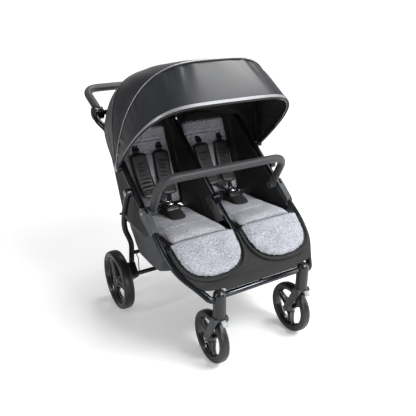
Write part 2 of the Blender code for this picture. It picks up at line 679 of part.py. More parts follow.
def seat(side):
    mid = seatMidX
    tilt = atan2(seatFrontZ - seatRearZ, seatFrontY - seatRearY)
    normal = tilt - pi / 2
    rows = []
    for k in range(9):
        t = k / 8
        y = seatRearY + (seatFrontY - seatRearY) * t
        z = seatRearZ + (seatFrontZ - seatRearZ) * t - padThickness
        ends = 1 - abs(2 * t - 1) ** 6 * (0.35 if t < 0.5 else 1.0)
        channel = 0.93 if k in (3, 6) else 1.0
        rows.append((mid, seatHalf - 0.006 * (1 - ends), y, z, normal,
                     padThickness * (0.55 + 0.45 * ends) * channel, 0.0))
    place(sided("seat_pad", side), crowned(rows), heatherCloth, None, side)
    deck = []
    for t in (0.0, 1.0):
        y = seatRearY + (seatFrontY - seatRearY) * t
        z = seatRearZ + (seatFrontZ - seatRearZ) * t - padThickness - gap
        ring = []
        under = -deckThickness
        for x, d in ((deckInnerX, 0), (deckOuterX, 0), (deckOuterX, under), (deckInnerX, under)):
            ring.append(Vector((x, y + d * cos(normal), z + d * sin(normal))))
        deck.append(ring)
    place(sided("seat_deck", side), loft(deck), blackCloth, None, side)

    backAxis = centre(sided("axis_back", side), backHingeY, backHingeZ)
    backNormal = backAngle + pi / 2
    rows = []
    for k in range(11):
        t = k / 10
        y, z = along(backHingeY, backHingeZ, backAngle, (backLength - backStart) * t + backStart)
        ends = 1 - abs(2 * t - 1) ** 6
        channel = 0.9 if k in (5, 8) else 1.0
        rows.append((mid, (seatHalf - 0.004) * (1 - 0.10 * t) - 0.008 * (1 - ends), y, z, backNormal,
                     padThickness * (0.5 + 0.5 * ends) * channel, backBoard))
    place(sided("back_pad", side), crowned(rows, 7), heatherCloth, backAxis, side)

    strap = []
    for k in range(9):
        t = k / 8
        lift = padThickness + 0.0008
        y, z = along(backHingeY, backHingeZ, backAngle, 0.075 + 0.165 * t)
        y, z = y + lift * cos(backNormal), z + lift * sin(backNormal)
        spread = 0.026 + 0.026 * t
        strap.append((mid, spread + 0.022, y, z, backNormal, 0.0105, 0.0))
    pads = place(sided("shoulder_pads", side), crowned(strap, 7, 8.0), blackCloth, backAxis, side)
    notch = []
    for t in (0.30, 1.2):
        y, z = along(backHingeY, backHingeZ, backAngle, 0.075 + 0.165 * t)
        half = 0.004 + 0.026 * t
        notch.append([Vector((mid + u * half, y + d * cos(backNormal), z + d * sin(backNormal)))
                      for u, d in ((-1, 0.0), (1, 0.0), (1, 0.08), (-1, 0.08))])
    combine(pads, guide(sided("strap_gap", side), loft(notch), backAxis, side), "DIFFERENCE")

    # Crotch pad with the buckle and waist belts, on the rear half of the seat pad
    fall = (seatFrontZ - seatRearZ) / (seatRearY - seatFrontY)
    rows = []
    for y, half, high in ((-0.085, 0.020, 0.010), (-0.060, 0.027, 0.024), (-0.022, 0.029, 0.044),
                          (0.012, 0.026, 0.044), (0.025, 0.018, 0.030)):
        rows.append((mid, half, y, seatRearZ + fall * (seatRearY - y) + 0.0004, pi / 2, high, 0.0))
    buckle = place(sided("buckle", side), crowned(rows), blackPlastic, None, side)
    belt = []
    for x, y, z in ((-0.112, 0.060, 0.4178), (-0.085, 0.052, 0.4280), (-0.030, 0.014, 0.462),
                    (0.030, 0.014, 0.462), (0.085, 0.052, 0.4280), (0.112, 0.060, 0.4178)):
        front, rear = y - beltWidth / 2, y + beltWidth / 2
        belt.append([Vector((mid + x, v, z + lift)) for v, lift in
                     ((front, 0.0013), (rear, 0.0), (rear, 0.0025), (front, 0.0038))])
    combine(buckle, guide(sided("waist_belt", side), loft(belt), None, side), "UNION")
    pocket = post(mid, buckleY, [(buckleTop - 0.0042, buckleButtonRadius + gap),
                                 (buckleTop + 0.03, buckleButtonRadius + gap)])
    combine(buckle, guide(sided("buckle_pocket", side), pocket, None, side), "DIFFERENCE")
    buttonAxis = centre(sided("axis_buckle_button", side), buckleY, buckleTop, side * mid)
    button = post(mid, buckleY, [(buckleTop - 0.0007, buckleButtonRadius),
                                 (buckleTop + 0.0030, buckleButtonRadius),
                                 (buckleTop + 0.0045, 0.7 * buckleButtonRadius)])
    place(sided("buckle_button", side), button, tabPlastic, buttonAxis, side)

    # Calf rest: rounded at its lower end, over the front of the seat
    calfAxis = centre(sided("axis_calf_rest", side), calfHingeY, calfHingeZ)
    calfNormal = calfAngle - pi / 2
    rows = [(mid, seatHalf, calfHingeY, calfHingeZ - calfHingeDepth, pi / 2, calfHingeDepth, 0.0)]
    steps = 9
    for k in range(1, steps + 1):
        t = k / steps
        run = calfLength * sin(t * pi / 2)
        width = seatHalf * (1 - (run / calfLength) ** 3.2 * 0.62)
        y, z = along(calfHingeY, calfHingeZ - calfHingeDepth, calfAngle, run)
        high = calfTopThickness + (calfEndThickness - calfTopThickness) * run / calfLength
        rows.append((mid, width, y, z, calfNormal, high * (1 - 0.55 * t ** 8), 0.0))
    place(sided("calf_rest", side), crowned(rows, 9), heatherCloth, calfAxis, side)

    # Fabric wall between the side tube and the seat
    low = [along(foldY, foldZ, upperAngle, u) for u in (0.040, 0.14, 0.25, 0.36, 0.44)]
    low += [along(backHingeY, backHingeZ, backAngle, u, 0.012) for u in (0.345, 0.18, 0.03)]
    low += [(y, deckBottom(y) + 0.001) for y in (seatRearY - 0.004, -0.06, -0.20, -0.245)]
    low += [along(foldY, foldZ, lowerAngle, u, v) for u, v in ((0.150, 0.0), (0.1145, 0.0), (0.108, 0.024),
                                                               (0.035, 0.0245))]
    low += [along(foldY, foldZ, upperAngle, 0.018, -0.026)]
    wall = plate(low[::-1], wallX, wallX + clothThickness)
    place(sided("side_panel", side), wall, blackCloth, foldAxis, side)


for side in (-1, 1):
    seat(side)

# Divider between the seats, and the front panel below the calf rests
rings = []
for x, drop in ((-dividerHalf, 0.075), (-0.016, 0.030), (-0.007, 0.0), (0.007, 0.0), (0.016, 0.030),
                (dividerHalf, 0.075)):
    top = [along(foldY, foldZ, upperAngle, u, -centreRadius - gap - drop * w)
           for u, w in ((0.030, 0.45), (0.10, 0.8), (0.20, 1.0), (0.30, 1.0), (0.39, 0.8), (0.455, 0.35))]
    low = [along(backHingeY, backHingeZ, backAngle, u, -0.004) for u in (0.345, 0.18, 0.03)]
    low += [(seatRearY - 0.06, 0.442), (-0.03, 0.446), (-0.080, 0.452)]
    rings.append([Vector((x, y, z)) for y, z in top + low])
place("seat_divider", loft(rings), blackCloth)
panelRows = []
for u, half in ((0.204, tubeX - 0.022), (0.26, tubeX - 0.022), (0.30, tubeX - 0.034),
                (0.335, frontWheelX + 0.047), (0.35, frontWheelX + 0.005), (0.368, frontWheelX - 0.035)):
    near = along(foldY, foldZ, lowerAngle, u, -tubeRadius - gap)
    far = along(foldY, foldZ, lowerAngle, u, -tubeRadius - gap - panelThickness)
    panelRows.append([Vector((-half, *near)), Vector((half, *near)), Vector((half, *far)),
                      Vector((-half, *far))])
place("front_panel", loft(panelRows), charcoalCloth)


# Canopy: three bows that turn on one axis, and the cloth over them

def archPlace(half, reach, angle, t, shape, grow=0.0):
    """Place on an arch: t runs from -1 at the left foot over the top to 1 at the right foot."""
    a = t * pi / 2
    x = (half + grow) * (1 if a > 0 else -1) * abs(sin(a)) ** (2 / shape[0])
    r = (reach + grow) * abs(cos(a)) ** (2 / shape[1])
    y, z = along(canopyY, canopyZ, angle + shape[2] * cos(a) ** 2, r)
    return Vector((x, y, z))


def bow(name, layer, reach, angle, shape, parent):
    eyeX = eyeStart + layer * eyeStep
    half = eyeX + bowEyeThickness
    rings = []
    for k in range(bowSteps + 1):
        t = -1 + 2 * k / bowSteps
        spot = archPlace(half, reach, angle, t, shape)
        inward = archPlace(half, reach, angle, t, shape, -bowDepth)
        leaning = angle + shape[2] * cos(t * pi / 2) ** 2
        edge = Vector((0, -sin(leaning), cos(leaning))) * (bowWidth / 2)
        rings.append([spot + edge, spot - edge, inward - edge, inward + edge])
    made = place(name, loft(rings), silverPiping, parent)
    for side in (-1, 1):
        eye = disc(eyeX, eyeX + bowEyeThickness, canopyY, canopyZ, bowEyeRadius, 12)
        combine(made, guide(sided(name + "_eye", side), eye, parent, side), "UNION")
        hole = disc(eyeX - 0.02, eyeX + 0.02, canopyY, canopyZ, canopyPinRadius + gap, 12)
        combine(made, guide(sided(name + "_hole", side), hole, parent, side), "DIFFERENCE")
    return made


eyeStart = tubeX + tubeRadius + gap
eyeStep = bowEyeThickness + gap
bow("canopy_rear_bow", 0, rearReach, rearAngle, rearShape, foldAxis)
bow("canopy_mid_bow", 1, midReach, midAngle, midShape, canopyAxis)
bow("canopy_front_bow", 2, brimReach, brimAngle, brimShape, canopyAxis)

coverHalf = eyeStart + 3 * eyeStep
arches = [(flapAngle, flapReach, flapShape), (rearAngle, rearReach, rearShape),
          (midAngle, midReach, midShape), (brimAngle, brimReach, brimShape)]
stations = [arches[0]]
for before, here in zip(arches, arches[1:]):
    for share in ((0.33, 0.67) if before is arches[0] else (0.5,)):
        mix = [before[k] * (1 - share) + here[k] * share for k in (0, 1)]
        mixShape = [before[2][k] * (1 - share) + here[2][k] * share for k in (0, 1, 2)]
        stations.append((mix[0], mix[1] + 0.003, mixShape))
    stations.append((here[0] - bowSpread, here[1], here[2]))
    stations.append((here[0] + bowSpread, here[1], here[2]))
coverRings = []
for k in range(1, bowSteps):
    t = -1 + 2 * k / bowSteps
    outer = [archPlace(coverHalf, reach, angle, t, shape, clothThickness) for angle, reach, shape in stations]
    inner = [archPlace(coverHalf, reach, angle, t, shape, gap) for angle, reach, shape in stations]
    coverRings.append(outer + inner[::-1])
place("canopy_cover", loft(coverRings), charcoalCloth, foldAxis)


# Basket under the seats: an open tub of cloth that sags in the middle
def basketSolid(inset, half, sag, lift):
    """Side outlines across the width; the inset one is the hollow, opened at the top and rear."""
    rim = [(-0.236 + inset, 0.352 + lift), (-0.222 + inset, deckBottom(-0.222) - 0.0004 + lift),
           (0.085 - inset, deckBottom(0.085) - 0.0004 + lift)]
    floor = [(0.078 - inset, 0.375), (0.0 - inset, 0.284 + inset), (-0.10, 0.281 + inset),
             (-0.205 + inset, 0.297 + inset)]
    rings = []
    for share in (-1.0, -0.82, -0.4, 0.4, 0.82, 1.0):
        drop = sag * (1 - abs(share) ** 2.5)
        ring = [Vector((share * half, y, z)) for y, z in rim]
        ring += [Vector((share * half, y, z - drop)) for y, z in floor]
        rings.append(ring)
    return loft(rings)


basket = place("basket", basketSolid(0.0, basketHalf, 0.012, 0.0), charcoalCloth)
mouth = loft([[Vector((x, y, z)) for y, z in ((-0.01, 0.362), (0.2, 0.362), (0.2, 0.5), (-0.01, 0.5))]
              for x in (-basketHalf + basketWall, basketHalf - basketWall)])
combine(basket, guide("basket_mouth", mouth), "DIFFERENCE")
combine(basket, guide("basket_hollow", basketSolid(basketWall, basketHalf - basketWall, 0.012, 0.09)),
        "DIFFERENCE")
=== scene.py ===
# Side-by-side double stroller: finishes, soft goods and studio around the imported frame.
# Metres, +Z up, front to -Y. Left is the -X side. Places repeat the named sizes of the CAD source.
import bpy
import bmesh
import json
from math import sin, cos, pi, radians, atan2, hypot, exp
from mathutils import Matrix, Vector, noise

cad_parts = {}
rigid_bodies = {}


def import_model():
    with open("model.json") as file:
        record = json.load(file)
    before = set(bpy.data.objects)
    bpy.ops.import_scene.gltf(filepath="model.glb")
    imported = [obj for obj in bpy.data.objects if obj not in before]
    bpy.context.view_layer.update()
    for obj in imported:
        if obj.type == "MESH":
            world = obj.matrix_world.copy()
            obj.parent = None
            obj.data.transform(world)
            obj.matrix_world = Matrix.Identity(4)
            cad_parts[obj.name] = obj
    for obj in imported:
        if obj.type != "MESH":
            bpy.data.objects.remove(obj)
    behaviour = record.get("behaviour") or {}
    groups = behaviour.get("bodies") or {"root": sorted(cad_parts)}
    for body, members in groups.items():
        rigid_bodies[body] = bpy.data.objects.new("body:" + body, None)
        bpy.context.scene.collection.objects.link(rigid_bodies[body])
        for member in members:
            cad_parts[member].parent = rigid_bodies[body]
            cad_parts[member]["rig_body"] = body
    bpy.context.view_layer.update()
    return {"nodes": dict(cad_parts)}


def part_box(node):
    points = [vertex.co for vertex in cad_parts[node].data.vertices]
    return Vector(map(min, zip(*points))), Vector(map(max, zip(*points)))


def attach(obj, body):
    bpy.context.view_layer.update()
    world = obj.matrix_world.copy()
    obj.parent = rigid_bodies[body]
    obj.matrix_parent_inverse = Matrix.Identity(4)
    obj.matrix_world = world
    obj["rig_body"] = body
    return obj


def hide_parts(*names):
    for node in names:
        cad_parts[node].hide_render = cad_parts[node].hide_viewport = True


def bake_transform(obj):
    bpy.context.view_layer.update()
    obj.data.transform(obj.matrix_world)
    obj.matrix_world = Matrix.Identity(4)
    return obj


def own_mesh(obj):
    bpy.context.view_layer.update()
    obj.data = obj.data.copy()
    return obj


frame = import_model()
print("frame loaded")

# places shared with the CAD frame
side = {
    "foldY": -0.115, "foldZ": 0.515, "upperAngle": radians(35.0), "lowerAngle": radians(213.6),
    "tubeX": 0.306, "tubeRadius": 0.0125, "hubDistance": 0.505, "gap": 0.0003,
}
foldY, foldZ = side["foldY"], side["foldZ"]
upperAngle, lowerAngle = side["upperAngle"], side["lowerAngle"]
tubeX, tubeRadius, gap = side["tubeX"], side["tubeRadius"], side["gap"]


def along(y, z, angle, distance, off=0.0):
    # place at a distance along a direction in the side view, and to its left
    return (y + distance * cos(angle) - off * sin(angle), z + distance * sin(angle) + off * cos(angle))


def onFrame(angle, distance, off=0.0):
    return along(foldY, foldZ, angle, distance, off)


hubY, hubZ = onFrame(upperAngle, side["hubDistance"])
legPivotY, legPivotZ = onFrame(upperAngle, 0.10)
canopyY, canopyZ = onFrame(upperAngle, 0.215)


# materials
def linear(code, alpha=1.0):
    # sRGB hex to linear
    made = []
    for k in (0, 2, 4):
        v = int(code[k:k + 2], 16) / 255
        made.append(v / 12.92 if v <= 0.04045 else ((v + 0.055) / 1.055) ** 2.4)
    return (*made, alpha)


def addNode(tree, kind, settings=None, links=None):
    # one node: a setting is an input (by name or number) or a property, a link is (socket, input)
    node = tree.nodes.new(kind)
    for name, value in (settings or {}).items():
        if isinstance(name, int) or name in node.inputs.keys():
            node.inputs[name].default_value = value
        else:
            setattr(node, name, value)
    for socket, name in (links or []):
        tree.links.new(socket, node.inputs[name])
    return node


def blankMaterial(name):
    made = bpy.data.materials.new(name)
    made.use_nodes = True
    tree = made.node_tree
    shader = tree.nodes["Principled BSDF"]
    place = addNode(tree, "ShaderNodeTexCoord").outputs["Object"]
    return made, tree, shader, place


def ramp(tree, source, low, high, start=0.35, stop=0.65):
    node = addNode(tree, "ShaderNodeValToRGB", {}, [(source, "Fac")])
    node.color_ramp.elements[0].position = start
    node.color_ramp.elements[0].color = linear(low)
    node.color_ramp.elements[1].position = stop
    node.color_ramp.elements[1].color = linear(high)
    return node.outputs["Color"]


def bump(tree, shader, height, distance, strength=1.0):
    node = addNode(tree, "ShaderNodeBump", {"Strength": strength, "Distance": distance}, [(height, "Height")])
    tree.links.new(node.outputs["Normal"], shader.inputs["Normal"])


def finish(shader, roughness, metallic=0.0, sheen=0.0, coat=0.0):
    values = {"Roughness": roughness, "Metallic": metallic, "IOR": 1.5, "Sheen Weight": sheen,
              "Sheen Roughness": 0.5, "Coat Weight": coat, "Coat Roughness": 0.1}
    for name, value in values.items():
        shader.inputs[name].default_value = value


def speckled(name, low, high, grain, roughness, metallic=0.0, lift=0.0002, sheen=0.0, coat=0.0):
    # moulded or coated surface: fine mottling of colour and a matching orange-peel bump, grain in mm
    made, tree, shader, place = blankMaterial(name)
    mottle = addNode(tree, "ShaderNodeTexNoise", {"Scale": 1000.0 / grain, "Detail": 3.0, "Roughness": 0.6},
                     [(place, "Vector")])
    tree.links.new(ramp(tree, mottle.outputs["Fac"], low, high), shader.inputs["Base Color"])
    bump(tree, shader, mottle.outputs["Fac"], lift)
    finish(shader, roughness, metallic, sheen=sheen, coat=coat)
    return made


weave = {"yarnCoarse": 2.2, "waveCoarse": 20, "wobble": 0.6, "cloud": 16.0, "cloudShare": 0.25}


def woven(name, low, high, thread, roughness, sheen, fleck, lift, streak=(1.0, 1.0, 1.0)):
    # woven cloth: two crossed thread waves for the bump, flecks of dyed yarn for the colour, thread in mm
    made, tree, shader, place = blankMaterial(name)
    stretched = addNode(tree, "ShaderNodeVectorMath", {"operation": "MULTIPLY", 1: streak}, [(place, 0)])
    yarnScale = 1000.0 / (thread * weave["yarnCoarse"])
    yarn = addNode(tree, "ShaderNodeTexNoise", {"Scale": yarnScale, "Detail": 2.0, "Roughness": 0.7},
                   [(stretched.outputs[0], "Vector")])
    cloudy = addNode(tree, "ShaderNodeTexNoise", {"Scale": weave["cloud"], "Detail": 2.0},
                     [(place, "Vector")])
    mixed = addNode(tree, "ShaderNodeMath", {"operation": "MULTIPLY_ADD", 1: weave["cloudShare"]},
                    [(cloudy.outputs["Fac"], 0), (yarn.outputs["Fac"], 2)])
    blur = 0.2 * (1 - fleck)
    colour = ramp(tree, mixed.outputs[0], low, high, 0.62 - blur, 0.64 + blur)
    tree.links.new(colour, shader.inputs["Base Color"])
    waves = []
    for axis in ("X", "Z"):
        settings = {"bands_direction": axis, "Scale": 1000.0 / (thread * weave["waveCoarse"]),
                    "Distortion": weave["wobble"]}
        waves.append(addNode(tree, "ShaderNodeTexWave", settings, [(place, "Vector")]).outputs["Fac"])
    crossed = addNode(tree, "ShaderNodeMath", {"operation": "ADD"}, [(waves[0], 0), (waves[1], 1)])
    rough = addNode(tree, "ShaderNodeMath", {"operation": "ADD"},
                    [(crossed.outputs[0], 0), (yarn.outputs["Fac"], 1)])
    bump(tree, shader, rough.outputs[0], lift)
    finish(shader, roughness, sheen=sheen)
    return made


# aluminium tube, powder coated: satin gunmetal that still shows the light as a long soft streak
coatedAluminium = speckled("powderCoatedAluminium", "26292d", "2f3236", 1.6, 0.22, 0.8, 0.00005)
# aluminium bar, polished then tinted: a bright sharp streak
tintedAluminium = speckled("tintedPolishedAluminium", "3c3e42", "45474b", 2.5, 0.16, 0.95, 0.00003)
# ABS, injection moulded with a spark texture: even grey with dull soft light
mouldedAbs = speckled("mouldedGreyAbs", "34373a", "3d4043", 1.2, 0.42, 0.0, 0.0001)
# glass-filled nylon, injection moulded: black with a semi-gloss skin
mouldedNylon = speckled("mouldedBlackNylon", "101113", "17181a", 1.5, 0.27, 0.0, 0.00005)
# ABS with a satin paint: the paler faces of the wheel spokes
paintedAbs = speckled("satinPaintedAbs", "4a4d50", "56595c", 2.0, 0.28, 0.2, 0.00004, coat=0.3)
# glossy injection moulded ABS for the rims
glossAbs = speckled("glossBlackAbs", "0c0d0e", "121315", 3.0, 0.2, 0.0, 0.00003, coat=0.4)
# polyurethane foam tyre, skinned in the mould: dark with a waxy sheen
foamTyre = speckled("skinnedPolyurethaneTyre", "101113", "18191b", 1.4, 0.36, 0.0, 0.00012)
# EVA foam tube, ground to size: matt black-grey with tiny open cells
evaFoam = speckled("groundEvaFoam", "1c1d20", "2e2f32", 1.1, 0.5, 0.0, 0.0003, sheen=0.15)
# ABS tab, moulded pale grey
paleAbs = speckled("mouldedPaleGreyAbs", "8f9396", "9a9ea1", 1.5, 0.4, 0.0, 0.00008)
# polyester melange cloth, woven from dyed and undyed yarn: heather grey; 0.5 mm yarn drawn at 1.4 mm to show
heatherPolyester = woven("wovenHeatherPolyester", "787a83", "b4b5bc", 1.4, 0.9, 0.2, 0.35, 0.0004,
                         (1.0, 0.5, 0.6))
# polyester plain weave with a water-repellent coat: charcoal, satin; 0.3 mm thread drawn at 0.6 mm to show
coatedPolyester = woven("coatedCharcoalPolyester", "14161a", "1d1f23", 0.6, 0.33, 0.1, 0.0, 0.00004)
# the same weave in mid grey, uncoated, drawn at 1 mm: the panel below the calf rests
panelPolyester = woven("wovenGreyPolyester", "343639", "46484c", 1.0, 0.6, 0.25, 0.0, 0.0002)
# the same weave in black, drawn at 1.2 mm: dull linings, walls and bindings; also the painted shade on the
# top of the back rests and the painted shadow lines beside two canopy pipings
blackPolyester = woven("wovenBlackPolyester", "08090a", "101112", 1.2, 0.75, 0.06, 0.0, 0.0003)
# polyester cloth brushed after weaving, drawn at 1 mm: black with a soft lustre on the shoulder pads
brushedPolyester = woven("brushedBlackPolyester", "060708", "101113", 1.0, 0.46, 0.05, 0.0, 0.0002)
# polyester pack cloth of the basket, 0.6 mm thread drawn at 1.6 mm: blue-black, coarse
packCloth = woven("wovenBlueBlackPackCloth", "15191d", "20262b", 1.6, 0.6, 0.15, 0.0, 0.0004)
# satin ribbon, woven narrow, 0.2 mm thread drawn at 0.8 mm: silver with a soft broad shine
satinRibbon = woven("wovenSilverSatin", "8b8c90", "a6a7ab", 0.8, 0.36, 0.2, 0.0, 0.0001)
satinRibbon.node_tree.nodes["Principled BSDF"].inputs["Metallic"].default_value = 0.55
# polypropylene webbing, narrow woven, 1.8 mm ribs: ribbed black
webbing = woven("wovenBlackWebbing", "0b0c0d", "1a1b1d", 1.8, 0.5, 0.05, 0.0, 0.0005)
# steel, chromed and polished: the badge of the buckle and the screws
chromedSteel = speckled("polishedChromedSteel", "c6c8ca", "d4d6d8", 4.0, 0.12, 1.0, 0.00002)
# steel cable in a black nylon sleeve
sleevedCable = speckled("extrudedBlackNylon", "161719", "1d1e20", 2.0, 0.45, 0.0, 0.00005)
print("materials made")


# mesh helpers
def newPiece(name, mesh, finishes, smooth=40.0):
    data = bpy.data.meshes.new(name)
    mesh.normal_update()
    mesh.to_mesh(data)
    mesh.free()
    for one in (finishes if isinstance(finishes, (list, tuple)) else [finishes]):
        data.materials.append(one)
    data.shade_smooth()
    if smooth:
        data.set_sharp_from_angle(angle=radians(smooth))
    piece = bpy.data.objects.new(name, data)
    bpy.context.scene.collection.objects.link(piece)
    return piece


def skin(rings, closed=False):
    # joins rings of points that have equal counts into one surface, capped at both ends unless closed
    mesh = bmesh.new()
    rows = [[mesh.verts.new(p) for p in ring] for ring in rings]
    pairs = list(zip(rows, rows[1:]))
    if closed:
        pairs.append((rows[-1], rows[0]))
    count = len(rows[0])
    for low, high in pairs:
        for i in range(count):
            j = (i + 1) % count
            mesh.faces.new((low[i], low[j], high[j], high[i]))
    if not closed:
        mesh.faces.new(list(reversed(rows[0])))
        mesh.faces.new(rows[-1])
    bmesh.ops.recalc_face_normals(mesh, faces=mesh.faces)
    return mesh


def bentPath(corners, bend, steps=8):
    points = [Vector(corners[0])]
    for before, here, after in zip(corners, corners[1:], corners[2:]):
        a, b, c = Vector(before), Vector(here), Vector(after)
        inward, outward = a - b, c - b
        reach = min(bend, inward.length * 0.45, outward.length * 0.45)
        start = b + inward.normalized() * reach
        end = b + outward.normalized() * reach
        for k in range(steps + 1):
            t = k / steps
            points.append(start * (1 - t) ** 2 + b * 2 * t * (1 - t) + end * t ** 2)
    points.append(Vector(corners[-1]))
    return points


def sweep(path, section, up=None, closed=False):
    # carries a section of (across, up) points along a path; a fixed up keeps flat straps flat
    path = [Vector(p) for p in path]
    count = len(path)
    rings = []
    ups = up if isinstance(up, list) else [up] * count
    start = (path[1] - path[0]).normalized()
    across = start.orthogonal().normalized() if up is None else start.cross(Vector(ups[0])).normalized()
    for i, point in enumerate(path):
        if closed:
            ahead = path[(i + 1) % count] - path[i - 1]
        else:
            ahead = path[min(i + 1, count - 1)] - path[max(i - 1, 0)]
        tangent = ahead.normalized()
        if up is None:
            across = (across - tangent * across.dot(tangent)).normalized()
        else:
            across = tangent.cross(Vector(ups[i])).normalized()
        rise = across.cross(tangent) * -1
        shape = section(i / (count - 1)) if callable(section) else section
        rings.append([point + across * u + rise * v for u, v in shape])
    return skin(rings, closed)


def roundSection(radius, sides=24):
    return [(radius * cos(2 * pi * k / sides), radius * sin(2 * pi * k / sides)) for k in range(sides)]


def strapSection(width, thickness):
    # flat strap with rounded edges
    half, t = width / 2, thickness / 2
    return [(-half, -t * 0.4), (-half + t, -t), (half - t, -t), (half, -t * 0.4),
            (half, t * 0.4), (half - t, t), (-half + t, t), (-half, t * 0.4)]


def lathe(profile, x, y, z, segments=72, axis="X"):
    # closed profile of (along the axis, radius) turned about an axis
    rings = []
    for k in range(segments):
        a = 2 * pi * k / segments
        ring = []
        for u, r in profile:
            p, q = r * cos(a), r * sin(a)
            ring.append(Vector((x + u, y + p, z + q) if axis == "X" else (x + p, y + q, z + u)))
        rings.append(ring)
    return skin(rings, closed=True)


def turned(levels, y, z, sides=48):
    # solid turned about an X axis from (x, radius) levels, with flat ends
    return skin([[Vector((x, y + r * cos(2 * pi * k / sides), z + r * sin(2 * pi * k / sides)))
                  for k in range(sides)] for x, r in levels])


def discShape(x0, x1, y, z, radius, edge=0.001, sides=48):
    # flat disc about an X axis with rounded rims
    levels = [(x0, radius - edge), (x0 + edge * 0.3, radius - edge * 0.3), (x0 + edge, radius),
              (x1 - edge, radius), (x1 - edge * 0.3, radius - edge * 0.3), (x1, radius - edge)]
    return turned(levels, y, z, sides)


def signedPower(value, power):
    # power that keeps the sign: rounds or squares the corners of an oval
    return (1 if value > 0 else -1) * abs(value) ** power


def completed(profile):
    # a profile of (along, radius) followed by its mirror
    return profile + [(-u, r) for u, r in reversed(profile)]


def hull(circles, count=48):
    outline = []
    for k in range(count):
        a = 2 * pi * k / count
        y, z, r = max(circles, key=lambda c: c[0] * cos(a) + c[1] * sin(a) + c[2])
        outline.append((y + r * cos(a), z + r * sin(a)))
    return outline


def softenEdges(piece, width=0.001, segments=2, angle=30.0):
    edge = piece.modifiers.new("roundedEdges", "BEVEL")
    edge.width = width
    edge.segments = segments
    edge.limit_method = "ANGLE"
    edge.angle_limit = radians(angle)
    edge.harden_normals = False
    return piece


def applyAll(piece):
    bpy.context.view_layer.update()
    made = bpy.data.meshes.new_from_object(piece.evaluated_get(bpy.context.evaluated_depsgraph_get()))
    old = piece.data
    piece.modifiers.clear()
    piece.data = made
    bpy.data.meshes.remove(old)
    return piece


def mirrored(piece, name):
    # the same piece on the other side
    data = piece.data.copy()
    data.name = name
    mesh = bmesh.new()
    mesh.from_mesh(data)
    bmesh.ops.scale(mesh, vec=(-1, 1, 1), verts=mesh.verts)
    bmesh.ops.reverse_faces(mesh, faces=mesh.faces)
    mesh.to_mesh(data)
    mesh.free()
    twin = bpy.data.objects.new(name, data)
    bpy.context.scene.collection.objects.link(twin)
    return twin


def both(build):
    # builds the left piece and its mirror; build gets nothing and returns the left one, named with _left
    left = build()
    return left, mirrored(left, left.name.replace("_left", "_right"))


def refined(node, material, width=0.0008, sharp=32.0):
    # CAD shape carried over with rounded edges and a real finish
    source = frame["nodes"][node]
    mesh = bmesh.new()
    mesh.from_mesh(source.data)
    bmesh.ops.remove_doubles(mesh, verts=mesh.verts, dist=0.00001)
    bmesh.ops.dissolve_limit(mesh, angle_limit=radians(1.0), verts=mesh.verts, edges=mesh.edges)
    piece = newPiece(node + "Rounded", mesh, material, sharp)
    softenEdges(piece, width)
    return settle(piece, source["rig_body"], None, node)


def gather(name, shapes, finishes, smooth=40.0):
    # several solids as one piece; each shape is (mesh, finish number)
    whole = bmesh.new()
    for mesh, index in shapes:
        for face in mesh.faces:
            face.material_index = index
        part = bpy.data.meshes.new("part")
        mesh.to_mesh(part)
        mesh.free()
        whole.from_mesh(part)
        bpy.data.meshes.remove(part)
    return newPiece(name, whole, finishes, smooth)


def settle(piece, body, slot=None, *nodes):
    # puts a finished piece on its body
    if nodes:
        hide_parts(*nodes)
    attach(piece, body)
    return piece


def settleBoth(pair, body, slot=None, *nodes):
    for piece, word in zip(pair, ("left", "right")):
        settle(piece, body.replace("SIDE", word), slot, *[n.replace("SIDE", word) for n in nodes])


def twins(build, body, slot=None, *nodes):
    # builds the left piece and its mirror and puts both on their bodies
    settleBoth(both(build), body, slot, *nodes)


def bridge(piece, slot, parent, child, start, end, *nodes):
    # soft piece across one joint: hides the nodes it replaces and bakes its transform into its mesh
    if nodes:
        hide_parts(*nodes)
    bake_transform(piece)


# wheels
rearWheel = {"x": 0.3463, "y": 0.108, "z": 0.128, "radius": 0.128, "width": 0.044, "turn": radians(58)}
frontWheel = {"x": 0.185, "y": -0.3937, "z": 0.1016, "radius": 0.1016, "width": 0.036, "turn": radians(22)}
wheelLook = {"tyreDepth": 0.021, "hubRadius": 0.0195, "bore": 0.0064, "web": 0.0045, "inset": 0.003,
             "spokes": 3, "spokeWidth": 0.019, "spokeFlare": 0.030, "spokeRib": 0.0042, "segments": 96}


def tyreMesh(size):
    half, r, d = size["width"] / 2, size["radius"], wheelLook["tyreDepth"]
    wall = [(-half + 0.004, r - d), (-half + 0.001, r - d + 0.002), (-half, r - d + 0.007),
            (-half, r - 0.0105)]
    tread = []
    for k in range(9):
        a = pi * k / 8
        tread.append((-half * cos(a) * 0.985, r - 0.0085 + 0.0085 * sin(a) ** 0.7))
    crown = wall + tread + [(-u, v) for u, v in reversed(wall)]
    return lathe(crown, -size["x"], size["y"], size["z"], wheelLook["segments"])


def rimMesh(size):
    # deep channel rim, hub barrel and spokes
    outer = size["radius"] - wheelLook["tyreDepth"] - gap
    half = size["width"] / 2 - wheelLook["inset"]
    web, hub = wheelLook["web"], wheelLook["hubRadius"]
    x, y, z = -size["x"], size["y"], size["z"]
    ring = completed([(-half, outer), (-half, outer - 0.003), (-half + 0.002, outer - 0.0045),
                      (-web - 0.004, outer - 0.007), (-web, outer - 0.0105)])
    barrel = completed([(-half, wheelLook["bore"]), (-half, hub * 0.62), (-half + 0.002, hub * 0.80),
                        (-half + 0.006, hub)])
    shapes = [(lathe(ring, x, y, z, wheelLook["segments"]), 0), (lathe(barrel, x, y, z, 48), 1)]
    for k in range(wheelLook["spokes"]):
        a = size["turn"] + k * 2 * pi / wheelLook["spokes"]
        shapes += spokeMeshes(x, y, z, a, hub - 0.003, outer - 0.008, half)
    return shapes


